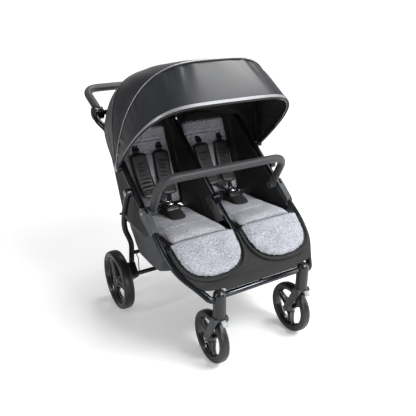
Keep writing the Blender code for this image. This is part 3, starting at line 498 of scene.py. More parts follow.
def spokeMeshes(x, y, z, a, inner, outer, half):
    # a spoke is a channel: a web with a raised pale rib along each edge, flaring into the hub and the rim
    steps, edge, face = 14, 0.0006, 0.0008
    c, s = cos(a), sin(a)

    def spot(u, r, v):
        return Vector((x + u, y + r * c - v * s, z + r * s + v * c))

    def width(t):
        return wheelLook["spokeWidth"] / 2 + (wheelLook["spokeFlare"] - wheelLook["spokeWidth"]) / 2 * (
            (1 - t) ** 4 + t ** 5)

    deep = half - 0.0025
    web, ribs = [], [[], []]
    for k in range(steps + 1):
        t = k / steps
        r = inner + (outer - inner) * t
        w = width(t)
        h = deep * (1 - 0.45 * t)
        deepWeb = h * 0.45
        web.append([spot(u, r, v) for u, v in ((-deepWeb, -w), (deepWeb, -w), (deepWeb, w), (-deepWeb, w))])
        for rib, sign in zip(ribs, (-1, 1)):
            low, high = sorted((sign * w, sign * (w - wheelLook["spokeRib"])))
            rib.append([spot(u, r, v) for u, v in (
                (-h, low + edge), (-h + face, low), (h - face, low), (h, low + edge),
                (h, high - edge), (h - face, high), (-h + face, high), (-h, high - edge))])
    return [(skin(web), 0)] + [(skin(rib), 1) for rib in ribs]


def wheel(word, size):
    def buildTyre():
        return newPiece(word + "WheelTyre_left", tyreMesh(size), foamTyre, 50)

    def buildRim():
        return gather(word + "WheelRim_left", rimMesh(size), [glossAbs, paintedAbs], 35)

    twins(buildTyre, word + "_wheel_SIDE", "tyre_rubber", word + "_tyre_SIDE")
    twins(buildRim, word + "_wheel_SIDE", "grey_plastic", word + "_rim_SIDE")


def axleCap():
    x, half = -rearWheel["x"], rearWheel["width"] / 2
    dome = ((-half - 0.0008, 0.004), (-half - 0.0006, 0.009), (-half + 0.0008, 0.0108),
            (-half + 0.0028, 0.011))
    levels = [(x + u, r) for u, r in dome]
    return newPiece("rearAxleCap_left", turned(levels, rearWheel["y"], rearWheel["z"], 32), mouldedAbs)


wheel("rear", rearWheel)
twins(axleCap, "rear_frame")
wheel("front", frontWheel)
print("wheels made")


# tubes of the frame
rail = {"frontWheelX": 0.185, "swivelY": -0.445, "housingRadius": 0.0235, "coverLength": 0.085}


def lowerRail():
    entry = rail["housingRadius"] - 0.004
    corners = [(tubeX, *onFrame(lowerAngle, rail["coverLength"] - 0.012)),
               (tubeX, *onFrame(lowerAngle, 0.188)),
               (tubeX - 0.018, -0.345, 0.363), (tubeX - 0.062, -0.405, 0.322),
               (rail["frontWheelX"] + 0.036, -0.441, 0.296),
               (rail["frontWheelX"] + entry - 0.006, rail["swivelY"] + 0.001, 0.290)]
    path = bentPath([(-x, y, z) for x, y, z in corners], 0.04, 8)
    return newPiece("lowerRail_left", sweep(path, roundSection(tubeRadius, 28)), coatedAluminium)


twins(lowerRail, "front_frame", "frame_metal", "lower_tube_SIDE")

outerHubX = 0.303 + 0.0215 / 2 + gap


def upperRail():
    hubX = outerHubX + 0.012
    corners = [(tubeX, *onFrame(upperAngle, 0.0265)), (tubeX, *onFrame(upperAngle, 0.415)),
               (hubX, *onFrame(upperAngle, 0.460)), (hubX, *onFrame(upperAngle, 0.493))]
    path = bentPath([(-x, y, z) for x, y, z in corners], 0.02, 6)
    hub = discShape(-outerHubX - 0.020, -outerHubX, hubY, hubZ, 0.026, 0.0025)
    ring = discShape(-outerHubX - 0.0206, -outerHubX - 0.018, hubY, hubZ, 0.0175, 0.0006)
    legPin = discShape(-0.3485, -0.306, legPivotY, legPivotZ, 0.0050, 0.0003)
    legHead = discShape(-0.3485, -0.3460, legPivotY, legPivotZ, 0.0090, 0.0008)
    canopyPin = discShape(-0.3395, -0.306, canopyY, canopyZ, 0.0038, 0.0003)
    lug = discShape(-0.310, -0.302, foldY, foldZ, 0.0145, 0.0005)
    shapes = [(sweep(path, roundSection(tubeRadius, 28)), 0), (hub, 1), (ring, 2), (legPin, 0), (legHead, 3),
              (canopyPin, 3), (lug, 0)]
    return gather("upperRail_left", shapes, [coatedAluminium, mouldedNylon, mouldedAbs, chromedSteel])


twins(upperRail, "handle_frame", "frame_metal", "upper_tube_SIDE")

legLook = {"outerX": 0.334, "innerX": 0.296, "radius": 0.011, "endY": 0.075, "endZ": 0.219}


def rearLeg():
    corners = [(legLook["outerX"], legPivotY, legPivotZ), (legLook["outerX"], 0.018, 0.475),
               (legLook["outerX"], 0.034, 0.400), (legLook["innerX"] + 0.004, 0.052, 0.318),
               (legLook["innerX"], 0.066, 0.270), (legLook["innerX"], legLook["endY"], legLook["endZ"])]
    path = bentPath([(-x, y, z) for x, y, z in corners], 0.035, 8)
    leg = sweep(path, roundSection(legLook["radius"], 24))
    eye = discShape(-0.3455, -0.3225, legPivotY, legPivotZ, 0.0165, 0.0018)
    stud = discShape(-0.352, -0.334, 0.021, 0.470, 0.0045, 0.0008, 24)
    return gather("rearLeg_left", [(leg, 0), (eye, 1), (stud, 1)], [coatedAluminium, mouldedNylon])


twins(rearLeg, "rear_frame", "frame_metal", "rear_leg_SIDE")

barLook = {"rear_axle_bar": (0.2837, 0.048, 0.170, 0.009, "rear_frame", coatedAluminium),
           "rear_stretcher": (0.2847, 0.066, 0.262, 0.008, "rear_frame", coatedAluminium),
           "back_cross_tube": (0.2910, hubY, hubZ, 0.010, "handle_frame", coatedAluminium),
           "front_crossbar": (0.163, -0.445, 0.302, 0.011, "front_frame", tintedAluminium)}
for node, (half, y, z, radius, body, finishUsed) in barLook.items():
    bar = newPiece(node + "Round", discShape(-half, half, y, z, radius, 0.0006, 32), finishUsed)
    settle(bar, body, "frame_metal", node)

for node in ("centre_tube_lower", "centre_tube_upper", "handle_tube"):
    refined(node, coatedAluminium, 0.0005)
print("tubes made")

# foam covered bars
bumperLook = {"x": 0.275, "topY": -0.193, "topZ": 0.660, "bend": 0.075, "radius": 0.016, "narrowing": 0.0,
              "start": 0.024, "eyeRadius": 0.0168, "eyeHalf": 0.014, "collarRadius": 0.0145}
gripLook = {"x": 0.303, "rearY": 0.4788, "rise": 0.068, "bend": 0.062, "radius": 0.0165, "narrowing": 0.002,
            "start": 0.032}
foam = {"step": 0.012, "roll": 0.006, "taper": 0.22, "sides": 32}


def foamLoop(look, foot, top):
    # sleeve of foam over a U of tube, from one foot over the top to the other: full section, rolled ends
    x, topX = look["x"], look["x"] - look["narrowing"]
    corners = [(x, *foot), (topX, *top), (-topX, *top), (-x, *foot)]
    path = bentPath(corners, look["bend"], 14)
    length = sum((b - a).length for a, b in zip(path, path[1:]))
    fine = []
    for a, b in zip(path, path[1:]):
        n = max(1, int((b - a).length / foam["step"]))
        fine += [a.lerp(b, k / n) for k in range(n)]
    fine.append(path[-1])
    total = 0.0
    radii = []
    for k, p in enumerate(fine):
        if k:
            total += (p - fine[k - 1]).length
        end = min(total, length - total)
        radii.append(look["radius"] * (1 - foam["taper"] * max(0.0, 1 - end / foam["roll"]) ** 2))
    last = len(radii) - 1
    return sweep(fine, lambda t: roundSection(radii[min(last, int(round(t * last)))], foam["sides"]))


bumperAngle = atan2(bumperLook["topZ"] - foldZ, bumperLook["topY"] - foldY)
sleeveFoot = along(foldY, foldZ, bumperAngle, bumperLook["start"])
shapes = [(foamLoop(bumperLook, sleeveFoot, (bumperLook["topY"], bumperLook["topZ"])), 0)]
for sign in (-1, 1):
    x, half = sign * bumperLook["x"], bumperLook["eyeHalf"]
    eye = discShape(x - half, x + half, foldY, foldZ, bumperLook["eyeRadius"], 0.0022)
    collar = sweep([(x, *along(foldY, foldZ, bumperAngle, u)) for u in (0.010, 0.018, 0.0262)],
                   roundSection(bumperLook["collarRadius"], 28))
    shapes += [(eye, 1), (collar, 1)]
settle(gather("bumperBarFoam", shapes, [evaFoam, mouldedAbs]), "bumper", "grip_foam", "bumper_bar")

gripRun = hypot(gripLook["rearY"] - hubY, gripLook["rise"])
gripFoot = (hubY + gripLook["start"] * (gripLook["rearY"] - hubY) / gripRun,
            hubZ + gripLook["start"] * gripLook["rise"] / gripRun)
grip = foamLoop(gripLook, gripFoot, (gripLook["rearY"], hubZ + gripLook["rise"]))
settle(newPiece("handleFoamGrip", grip, evaFoam), "handle", "grip_foam", "handle_grip")
for node in ("handle_button_left", "handle_button_right"):
    refined(node, mouldedNylon, 0.0008)
print("foam bars made")


# moulded parts carried over from the CAD shapes, each with the width of its rounded edges
mouldings = {"joint_cover_": (mouldedAbs, 0.0022), "caster_housing_": (mouldedNylon, 0.0016),
             "caster_fork_": (mouldedAbs, 0.0009), "swivel_lock_": (paleAbs, 0.0006),
             "rear_bracket_": (mouldedNylon, 0.0012), "seat_deck_": (mouldedNylon, 0.0008)}
for word in ("left", "right"):
    for stem, (used, edge) in mouldings.items():
        refined(stem + word, used, edge)
refined("brake_pedal", mouldedNylon, 0.0014)
kept = {"canopy_rear_bow": mouldedNylon, "canopy_mid_bow": mouldedNylon, "canopy_front_bow": mouldedNylon,
        "brake_cable": sleevedCable}
for node, used in kept.items():
    frame["nodes"][node].data.materials.clear()
    frame["nodes"][node].data.materials.append(used)


# pan head screws: node that carries it, how far it stands proud, its place, radius and body
screws = {"coverScrew_left": ("joint_cover_left", 0.0012, foldY, foldZ, 0.0048, "front_frame"),
          "forkScrew_left": ("caster_fork_left", 0.001, frontWheel["y"], frontWheel["z"], 0.0052,
                             "caster_SIDE")}
for name, (carrier, proud, y, z, radius, body) in screws.items():
    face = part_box(carrier)[0][0]
    head = discShape(face - proud, face + 0.002, y, z, radius, 0.0006, 28)
    twins(lambda: newPiece(name, head, chromedSteel), body)
print("moulded parts made")


# sizes of the seats
seat = {"rearY": 0.1071, "rearZ": 0.425, "frontY": -0.262, "frontZ": 0.462, "thick": 0.028, "half": 0.126,
        "mid": -0.149, "swell": 0.004, "seams": (0.125, 0.262)}
back = {"hingeY": 0.125, "hingeZ": 0.430, "angle": radians(66.7), "length": 0.370, "start": -0.0145,
        "half": 0.122, "board": 0.010, "seams": (0.11, 0.215, 0.270, 0.322), "sideSeam": 0.088, "taper": 0.10}
calf = {"y": -0.2630, "z": 0.4376, "angle": radians(214.5), "length": 0.165, "top": 0.0205, "end": 0.012,
        "spill": 0.011}
pad = {"voxel": 0.005, "cap": 0.005, "pressure": 4.0, "frames": 20, "fill": 0.55}


def backPlace(u, lift=0.0):
    # y and z at a distance up the back rest
    return along(back["hingeY"], back["hingeZ"], back["angle"], u, lift)


def distanceAlong(p, y, z, angle):
    return (p.y - y) * cos(angle) + (p.z - z) * sin(angle)


def facing(n, normal):
    # how far a surface normal faces the padded side
    return max(0.0, n.y * cos(normal) + n.z * sin(normal))


# cloth walls
def sampled(points, count):
    # even spacing along an open path
    points = [Vector((0, *p)) if len(p) == 2 else Vector(p) for p in points]
    lengths = [(b - a).length for a, b in zip(points, points[1:])]
    total, made, k, passed = sum(lengths), [], 0, 0.0
    for n in range(count):
        want = total * n / (count - 1)
        while k < len(lengths) - 1 and passed + lengths[k] < want:
            passed += lengths[k]
            k += 1
        made.append(points[k].lerp(points[k + 1], min(1.0, (want - passed) / lengths[k])))
    return made


def shell(grid, offset):
    # closed thin sheet from a grid of points and a second layer moved by offset(i, j)
    rows, columns = len(grid), len(grid[0])
    mesh = bmesh.new()
    layers = []
    for layer in (0, 1):
        layers.append([[mesh.verts.new(grid[i][j] + (offset(i, j) if layer else Vector((0, 0, 0))))
                        for j in range(columns)] for i in range(rows)])
    for layer, rowsMade in enumerate(layers):
        for i in range(rows - 1):
            for j in range(columns - 1):
                face = mesh.faces.new((rowsMade[i][j], rowsMade[i][j + 1], rowsMade[i + 1][j + 1],
                                       rowsMade[i + 1][j]))
                face.material_index = layer
    outer, inner = layers
    rim = [(i, 0) for i in range(rows)] + [(rows - 1, j) for j in range(1, columns)]
    rim += [(i, columns - 1) for i in range(rows - 2, -1, -1)] + [(0, j) for j in range(columns - 2, 0, -1)]
    for (a, b), (c, d) in zip(rim, rim[1:] + rim[:1]):
        mesh.faces.new((outer[a][b], outer[c][d], inner[c][d], inner[a][b])).material_index = 1
    bmesh.ops.recalc_face_normals(mesh, faces=mesh.faces)
    return mesh


def gridArea(grid):
    total = 0.0
    for low, high in zip(grid, grid[1:]):
        for a, b, c, d in zip(low, low[1:], high[1:], high):
            total += ((c - a).cross(d - b)).length / 2
    return total


def flatSize(grid):
    # width, length and area of the cloth as cut: the grid's longest row and column
    width = max(sum((b - a).length for a, b in zip(row, row[1:])) for row in grid)
    length = max(sum((b[j] - a[j]).length for a, b in zip(grid, grid[1:])) for j in range(len(grid[0])))
    return width, length, gridArea(grid)


def clothSheet(name, grid, offset, finishes):
    piece = newPiece(name, shell(grid, offset), finishes, 60)
    return piece


def lining(name, grid, move):
    # black cloth of even thickness
    return clothSheet(name, grid, lambda i, j: move, [blackPolyester, blackPolyester])


def deckBottom(y):
    share = (seat["rearY"] - y) / (seat["rearY"] - seat["frontY"])
    return seat["rearZ"] + (seat["frontZ"] - seat["rearZ"]) * share - seat["thick"] - 0.0063


wallX = tubeX - tubeRadius - 0.003 - gap


# padded pieces
def slab(rows, columns=25, power=4.0, low=0.3):
    # pad from rows of (middle, half width, y, z, normal angle, thickness above, thickness below)
    rings = []
    for mid, half, y, z, normal, above, below in rows:
        top, bottom = [], []
        for k in range(columns):
            u = -1 + 2 * k / (columns - 1)
            swell = low + (1 - low) * (1 - abs(u) ** power)
            x = mid + half * u
            top.append(Vector((x, y + above * swell * cos(normal), z + above * swell * sin(normal))))
            bottom.append(Vector((x, y - below * cos(normal), z - below * sin(normal))))
        rings.append(top + bottom[::-1])
    return skin(rings)


def inflate(piece):
    # stuffs a closed shape: even mesh, cloth with pressure inside, movement held to the cap
    scene = bpy.context.scene
    even = piece.modifiers.new("evenMesh", "REMESH")
    even.mode = "VOXEL"
    even.voxel_size = pad["voxel"]
    applyAll(piece)
    start = [v.co.copy() for v in piece.data.vertices]
    cloth = piece.modifiers.new("stuffing", "CLOTH")
    cloth.settings.use_pressure = True
    cloth.settings.uniform_pressure_force = pad["pressure"]
    cloth.settings.effector_weights.gravity = 0.0
    cloth.point_cache.frame_start = 1
    cloth.point_cache.frame_end = pad["frames"]
    for step in range(1, pad["frames"] + 1):
        scene.frame_set(step)
    applyAll(piece)
    scene.frame_set(1)
    for vertex, place in zip(piece.data.vertices, start):
        move = vertex.co - place
        if move.length > pad["cap"]:
            vertex.co = place + move.normalized() * pad["cap"]
    finer = piece.modifiers.new("finer", "SUBSURF")
    finer.levels = finer.render_levels = 1
    applyAll(piece)
    piece.data.shade_smooth()
    return piece


def sculpt(piece, push):
    # moves each point along its normal by what push says of its place and normal
    normals = [v.normal.copy() for v in piece.data.vertices]
    for vertex, normal in zip(piece.data.vertices, normals):
        vertex.co = vertex.co + normal * push(vertex.co, normal)
    piece.data.update()
    return piece


def seam(distance, width, depth):
    # stitched groove with a low puff on both sides
    d = distance / width
    return -depth * exp(-d * d) + depth * 0.25 * exp(-((abs(d) - 2.4) ** 2))


def wrinkle(x, y, z, scale, seed):
    return noise.noise(Vector((x * scale + seed, y * scale, z * scale)))


def edgeLoop(rows, lift):
    sides = [[Vector((mid + sign * half, y + lift * cos(n), z + lift * sin(n)))
              for mid, half, y, z, n, *_ in rows] for sign in (-1, 1)]
    return sides[0] + sides[1][::-1]


def piping(name, path, radius, used, closed=True):
    return newPiece(name, sweep(path, roundSection(radius, 10), closed=closed), used, 60)


def smoothLoop(points, count):
    # even spacing round a closed path with its corners rounded off
    lengths = [(b - a).length for a, b in zip(points, points[1:] + points[:1])]
    total = sum(lengths)
    made, k, passed = [], 0, 0.0
    for n in range(count):
        want = total * n / count
        while passed + lengths[k] < want:
            passed += lengths[k]
            k += 1
        a, b = points[k], points[(k + 1) % len(points)]
        made.append(a.lerp(b, (want - passed) / max(lengths[k], 1e-9)))
    for _ in range(2):
        made = [(made[i - 1] + made[i] * 2 + made[(i + 1) % count]) / 4 for i in range(count)]
    return made


def seatRows(inset, count=19):
    tilt = atan2(seat["frontZ"] - seat["rearZ"], seat["frontY"] - seat["rearY"])
    normal = tilt - pi / 2
    length = hypot(seat["frontY"] - seat["rearY"], seat["frontZ"] - seat["rearZ"])
    rows = []
    for k in range(count):
        t = inset / length + (1 - 2 * inset / length) * k / (count - 1)
        y = seat["rearY"] + (seat["frontY"] - seat["rearY"]) * t
        z = seat["rearZ"] + (seat["frontZ"] - seat["rearZ"]) * t - seat["thick"]
        ends = 1 - abs(2 * k / (count - 1) - 1) ** 10
        shift = inset * 0.4
        half = (seat["half"] - inset) * (0.965 + 0.035 * ends)
        rows.append((seat["mid"], half, y + shift * cos(normal), z + shift * sin(normal), normal,
                     (seat["thick"] - inset * 1.2) * (0.55 + 0.45 * ends), 0.0))
    return rows, normal


def seatPad():
    rows, normal = seatRows(seat["swell"])
    piece = inflate(newPiece("seatCushion_left", slab(rows), heatherPolyester))
    tilt = normal + pi / 2

    def push(p, n):
        s = distanceAlong(p, seat["rearY"], seat["rearZ"], tilt)
        d = min(abs(s - at) for at in seat["seams"])
        ruffle = 0.0010 * exp(-(d / 0.018) ** 2) * sin(p.x * 330 + 4 * wrinkle(p.x, p.y, 0, 22, 3))
        return facing(n, normal) * (seam(d, 0.0032, 0.0034) + ruffle) + 0.0008 * wrinkle(p.x, p.y, p.z, 26, 1)

    return sculpt(piece, push)


def backRows(inset, count=23):
    normal = back["angle"] + pi / 2
    rows = []
    for k in range(count):
        t = k / (count - 1)
        u = back["start"] + inset + (back["length"] - back["start"] - 2 * inset) * t
        y, z = backPlace(u)
        ends = 1 - abs(2 * t - 1) ** 8
        corner = 0.030 * max(0.0, (t - 0.86) / 0.14) ** 3
        half = (back["half"] - inset) * (1 - back["taper"] * t) - 0.006 * (1 - ends) - corner
        rows.append((seat["mid"], half, y, z, normal, (seat["thick"] - inset) * (0.55 + 0.45 * ends),
                     back["board"] - inset))
    return rows, normal


def backPad():
    rows, normal = backRows(seat["swell"])
    piece = inflate(newPiece("backCushion_left", slab(rows), [heatherPolyester, blackPolyester]))
    place = back["hingeY"], back["hingeZ"], back["angle"]
    paintedShadeSeam = back["seams"][-1]  # above this seam the back rest is drawn black: painted shade of the canopy brim

    def push(p, n):
        u = distanceAlong(p, *place)
        d = min(abs(u - at) for at in back["seams"])
        side = abs(abs(p.x - seat["mid"]) - back["sideSeam"])
        lines = seam(d, 0.0036, 0.0046) + (seam(side, 0.0028, 0.0022) if u < 0.30 else 0.0)
        ruffle = 0.0020 * exp(-(d / 0.02) ** 2) * sin(p.x * 210 + 5 * wrinkle(p.x, u, 0, 20, 8))
        return facing(n, normal) * (lines + ruffle) + 0.0008 * wrinkle(p.x, p.y, p.z, 24, 5)

    sculpt(piece, push)
    # painted shade: faces above the seam take the black cloth, standing for the canopy brim's shade on the
    # top of the back rest
    for face in piece.data.polygons:
        face.material_index = 1 if distanceAlong(face.center, *place) > paintedShadeSeam else 0
    return piece


def calfRows(inset, count=29):
    normal = calf["angle"] - pi / 2
    rows = []
    for k in range(count):
        t = k / (count - 1)
        run = (calf["length"] - inset) * sin(t * pi / 2)
        share = min(1.0, run / (calf["length"] - inset))
        width = (seat["half"] + calf["spill"] - inset) * max(0.14, (1 - share ** 3.4) ** 0.42)
        y, z = along(calf["y"], calf["z"], calf["angle"], run, 0.0)
        high = calf["top"] + (calf["end"] - calf["top"]) * run / calf["length"]
        here = pi / 2 + (normal - pi / 2) * min(1.0, run / 0.02)
        shift = inset * 0.4
        rows.append((seat["mid"], width, y + shift * cos(here), z + shift * sin(here), here,
                     (high - inset) * (1 - 0.5 * t ** 8), 0.0))
    return rows, normal


def calfPad():
    rows, normal = calfRows(seat["swell"])
    piece = inflate(newPiece("calfCushion_left", slab(rows, 25, 5.0, 0.45), heatherPolyester))

    def push(p, n):
        s = distanceAlong(p, calf["y"], calf["z"], calf["angle"])
        x = p.x - seat["mid"]
        edge = (s / calf["length"]) ** 4 + abs(x / seat["half"]) ** 6
        turn = atan2(x, max(s - 0.035, 0.001))
        gathers = (abs(sin(turn * 6.5 + 0.4)) - 0.6) * (s > 0.08)
        gathers *= 0.0036 * max(0.0, min(1.0, (edge - 0.22) / 0.6))
        ruffle = 0.0008 * exp(-((s - 0.047) / 0.015) ** 2) * sin(x * 310 + 4 * wrinkle(x, s, 0, 22, 3))
        lines = seam(abs(s - 0.047), 0.003, 0.003) + gathers + ruffle
        return facing(n, normal) * lines + 0.0007 * wrinkle(p.x, p.y, p.z, 28, 2)

    return sculpt(piece, push)


def padTwins(build, body, node):
    pair = both(build)
    settleBoth(pair, body, "heather_cloth", node)


backLining = {"rows": 30, "columns": 32, "low": -0.018, "inner": 0.0224, "edge": 0.0008, "roll": 0.006,
              "rise": 0.026, "thick": 0.0018}


def backCloth():
    # black cloth of the back rest: closes the space between the padded part, the wall and the divider
    grid = []
    wide = wallX - backLining["edge"]
    for i in range(backLining["rows"] + 1):
        u = backLining["low"] + (back["length"] + 0.014) * i / backLining["rows"]
        row = []
        for j in range(backLining["columns"] + 1):
            x = -wide + (wide - backLining["inner"]) * j / backLining["columns"]
            tuck = 0.0030 * sin(pi * i / backLining["rows"]) * wrinkle(x, u, 0, 16, 7)
            padHalf = back["half"] * (1 - back["taper"] * i / backLining["rows"])
            beside = abs(x - seat["mid"]) - padHalf - 0.002
            rim = max(0.0, min(1.0, beside / backLining["roll"]))
            lift = -back["board"] - 0.0012 + min(0.0, tuck) * (1 - rim) + backLining["rise"] * rim
            row.append(Vector((x, *backPlace(u, lift))))
        grid.append(row)
    rear = Vector((0, *along(0, 0, back["angle"], 0.0, -backLining["thick"])))
    return lining("backCloth_left", grid, rear), flatSize(grid)


padTwins(seatPad, "front_frame", "seat_pad_SIDE")
padTwins(backPad, "back_SIDE", "back_pad_SIDE")
leftCloth, (width, length, area) = backCloth()
rightCloth = mirrored(leftCloth, "backCloth_right")
settleBoth((leftCloth, rightCloth), "back_SIDE", "black_cloth")
padTwins(calfPad, "calf_SIDE", "calf_rest_SIDE")
print("cushions made")

# rows of the edge, lift, radius and body; the binding is open where the calf rest meets the seat
edgings = {"seatPiping": (seatRows(0.001)[0], 0.004, 0.0022, "front_frame"),
           "backPiping": (backRows(0.001)[0], 0.003, 0.0024, "back_SIDE"),
           "calfBinding": (calfRows(-0.0046)[0][2:], 0.0045, 0.0058, "calf_SIDE")}
for name, (rowsMade, lift, radius, body) in edgings.items():
    closed = name != "calfBinding"
    edge = edgeLoop(rowsMade, lift)
    path = smoothLoop(edge, 150) if closed else sampled(edge, 120)
    twins(lambda: piping(name + "_left", path, radius, blackPolyester, closed), body, "black_cloth")


# harness
harness = {"padWidth": 0.071, "padThick": 0.018, "lowU": 0.030, "highU": 0.222, "lowX": 0.041, "highX": 0.052,
           "round": 0.016, "lean": 0.036, "rib": 0.0040, "ribStep": 0.0165, "ribLow": 0.035, "ribHigh": 0.040,
           "ribShare": 0.62, "belt": 0.024, "beltThick": 0.0025, "slide": 0.030, "strap": 0.020}
buckle = {"x": seat["mid"], "y": -0.0025, "top": 0.4827, "combStep": 0.0062}
backNormal = back["angle"] + pi / 2
backRise = Vector((0, cos(backNormal), sin(backNormal)))


def onBack(x, u, lift):
    return Vector((seat["mid"] + x, *backPlace(u, lift)))


def shoulderPads():
    # two ribbed pads in a V, rounded at both ends and leaning forward towards the buckle
    shapes = []
    steps, around = 96, 28
    lift = seat["thick"] + 0.0016
    for sign in (-1, 1):
        low = onBack(sign * harness["lowX"], harness["lowU"], 0.0)
        run = onBack(sign * harness["highX"], harness["highU"], 0.0) - low
        length = run.length
        ahead = run.normalized()
        across = ahead.cross(backRise).normalized()
        rings = []
        for k in range(steps + 1):
            s = length * (1 - cos(pi * k / steps)) / 2
            end = min(s, length - s)
            rounding = (1 - max(0.0, 1 - end / harness["round"]) ** 2) ** 0.5
            half = harness["padWidth"] / 2 * max(0.08, rounding)
            lean = harness["lean"] * max(0.0, 1 - s / (0.6 * length)) ** 1.8
            ribs = 0.0
            if harness["ribLow"] < s < length - harness["ribHigh"]:
                ribs = harness["rib"] * abs(cos((s - harness["ribLow"]) * pi / harness["ribStep"])) ** 3
            thick = harness["padThick"] * (0.45 + 0.55 * max(0.1, rounding))
            ring = []
            for j in range(around):
                a = 2 * pi * j / around
                u, v = signedPower(cos(a), 0.55), signedPower(sin(a), 0.7)
                inRibs = sin(a) > 0 and abs(u) < harness["ribShare"]
                cut = ribs * max(0.0, 1 - abs(u / harness["ribShare"]) ** 6) if inRibs else 0.0
                level = thick / 2 * (1 + v) - cut
                ring.append(low + ahead * s + across * (u * half) + backRise * (lift + lean + level - 0.0006))
            rings.append(ring)
        shapes.append((skin(rings), 0))
        tabStart, tabEnd = low + ahead * (length - 0.010), low + ahead * (length + 0.034)
        tab = [tabStart + backRise * (lift + 0.004), tabStart.lerp(tabEnd, 0.4) + backRise * (lift + 0.003),
               tabEnd + backRise * (lift - 0.003)]
        slide = [tabStart.lerp(tabEnd, 0.42) + backRise * (lift + 0.0052),
                 tabStart.lerp(tabEnd, 0.62) + backRise * (lift + 0.004)]
        shapes.append((sweep(tab, strapSection(harness["belt"], 0.003), up=backRise), 1))
        shapes.append((sweep(slide, strapSection(harness["slide"], 0.003), up=backRise), 2))
    return gather("shoulderPads_left", shapes, [brushedPolyester, webbing, mouldedNylon], 50)


twins(shoulderPads, "back_SIDE", "black_cloth", "shoulder_pads_SIDE")


def shoulderStraps():
    shapes = []
    steps = [k / 14 for k in range(15)]
    for sign in (-1, 1):
        top = onBack(sign * harness["lowX"], harness["lowU"] + 0.012, seat["thick"] + harness["lean"])
        low = Vector((buckle["x"] + sign * 0.010, buckle["y"] + 0.018, buckle["top"] - 0.006))
        bow = (top + low) / 2 + Vector((sign * 0.002, 0, -0.012))
        points = [top * (1 - t) ** 2 + bow * 2 * t * (1 - t) + low * t ** 2 for t in steps]
        ups = [backRise.lerp(Vector((0, 0.1, 1)), t) for t in steps]
        shapes.append((sweep(points, strapSection(harness["strap"], 0.0022), up=ups), 0))
    return gather("shoulderStraps_left", shapes, [webbing], 50)


for piece, word in zip(both(shoulderStraps), ("left", "right")):
    x = seat["mid"] if word == "left" else -seat["mid"]
    top = tuple(onBack(x - seat["mid"], 0.085, 0.030))
    bridge(piece, "black_cloth", "handle_frame", "back_" + word, (x, 0.012, 0.480), top)


def combed(y, depth):
    # fine ribs across the clasp and the crotch pad
    return depth * (0.5 + 0.5 * cos(2 * pi * y / buckle["combStep"]))


def buckleBody(x, y, top):
    # moulded clasp that holds the badge: rounded block with a comb of ribs below the badge
    rings = []
    steps, around = 40, 24
    for k in range(steps + 1):
        t = -1 + 2 * k / steps
        end = (1 - abs(t) ** 6) ** 0.5
        v = y - 0.010 + 0.033 * t
        comb = combed(v, 0.0026) * (v < y - 0.0185)
        half = 0.0350 * (0.55 + 0.45 * end)
        high = 0.0135 * max(0.25, end) - comb
        ring = []
        for j in range(around):
            a = 2 * pi * j / around
            u, w = signedPower(cos(a), 0.45), signedPower(sin(a), 0.5)
            level = top - 0.0185 + (high * w if w > 0 else 0.006 * w)
            ring.append(Vector((x + half * u, v, level)))
        rings.append(ring)
    return skin(rings)


def crotchPad():
    fall = (seat["frontZ"] - seat["rearZ"]) / (seat["rearY"] - seat["frontY"])
    shapes, rings = [], []
    steps, crest = 40, 0.62
    for k in range(steps + 1):
        t = k / steps
        y = -0.100 + 0.125 * t
        tip = (1 - max(0.0, 1 - t / 0.22) ** 2) ** 0.5
        rear = (1 - max(0.0, (t - 0.88) / 0.12) ** 2 * 0.5) ** 0.5
        half = 0.0335 * max(0.10, tip) * rear
        if t < crest:
            high = 0.0085 + 0.0315 * min(1.0, t / crest) ** 1.3
        else:
            high = 0.040 - 0.008 * ((t - crest) / 0.38) ** 2
        base = seat["rearZ"] + fall * (seat["rearY"] - y) + 0.0006
        comb = combed(y, 0.0016) if 0.14 < t < 0.56 else 0.0
        ring = []
        for j in range(25):
            a = pi * j / 24
            u = signedPower(cos(a), 0.6)
            cut = comb if abs(u) < 0.66 else 0.0
            ring.append(Vector((seat["mid"] + half * u, y, base + (high - cut) * max(0.0, sin(a)) ** 0.5)))
        rings.append(ring)
    shapes.append((skin(rings), 0))
    x, y, top = buckle["x"], buckle["y"], buckle["top"]
    rim = [(-0.0062, 0.0140), (-0.0062, 0.0212), (-0.001, 0.0216), (0.0016, 0.0208), (0.0030, 0.0186),
           (0.0020, 0.0156), (-0.0005, 0.0140)]
    ring = [(0.0004, 0.0104), (0.0004, 0.0122), (0.0020, 0.0120), (0.0024, 0.0112), (0.0020, 0.0105)]
    shapes += [(lathe(profile, x, y, top, 48, "Z"), 2) for profile in (rim, ring)]
    shapes.append((buckleBody(x, y, top), 1))
    up = (0, -0.1, 1)
    for sign in (-1, 1):
        belt = [(sign * 0.112, 0.060, 0.4195), (sign * 0.100, 0.057, 0.4222), (sign * 0.085, 0.052, 0.4300),
                (sign * 0.060, 0.036, 0.4470), (sign * 0.042, 0.024, 0.4590), (sign * 0.026, 0.012, 0.4640),
                (sign * 0.012, 0.004, 0.4655)]
        path = [Vector((x + a, b, c)) for a, b, c in belt]
        adjuster = [p + Vector((0, 0, 0.0012)) for p in (path[3], path[3].lerp(path[4], 0.8))]
        shapes.append((sweep(path, strapSection(harness["belt"], harness["beltThick"]), up=up), 3))
        shapes.append((sweep(adjuster, strapSection(harness["slide"], 0.0045), up=up), 1))
    return gather("crotchPad_left", shapes, [blackPolyester, mouldedNylon, chromedSteel, webbing], 45)


twins(crotchPad, "front_frame", "black_plastic", "buckle_SIDE")


def buckleBadge():
    x, y, top = buckle["x"], buckle["y"], buckle["top"]
    sides = 48
    levels = [(-0.0007, 0.0099), (0.0024, 0.0099), (0.0030, 0.0095), (0.0033, 0.0086), (0.0028, 0.0078),
              (0.0030, 0.0070), (0.0038, 0.0055), (0.0043, 0.0025)]
    rings = [[Vector((x + r * cos(2 * pi * k / sides), y + r * sin(2 * pi * k / sides), top + u))
              for k in range(sides)] for u, r in levels]
    return newPiece("buckleBadge_left", skin(rings), chromedSteel, 40)


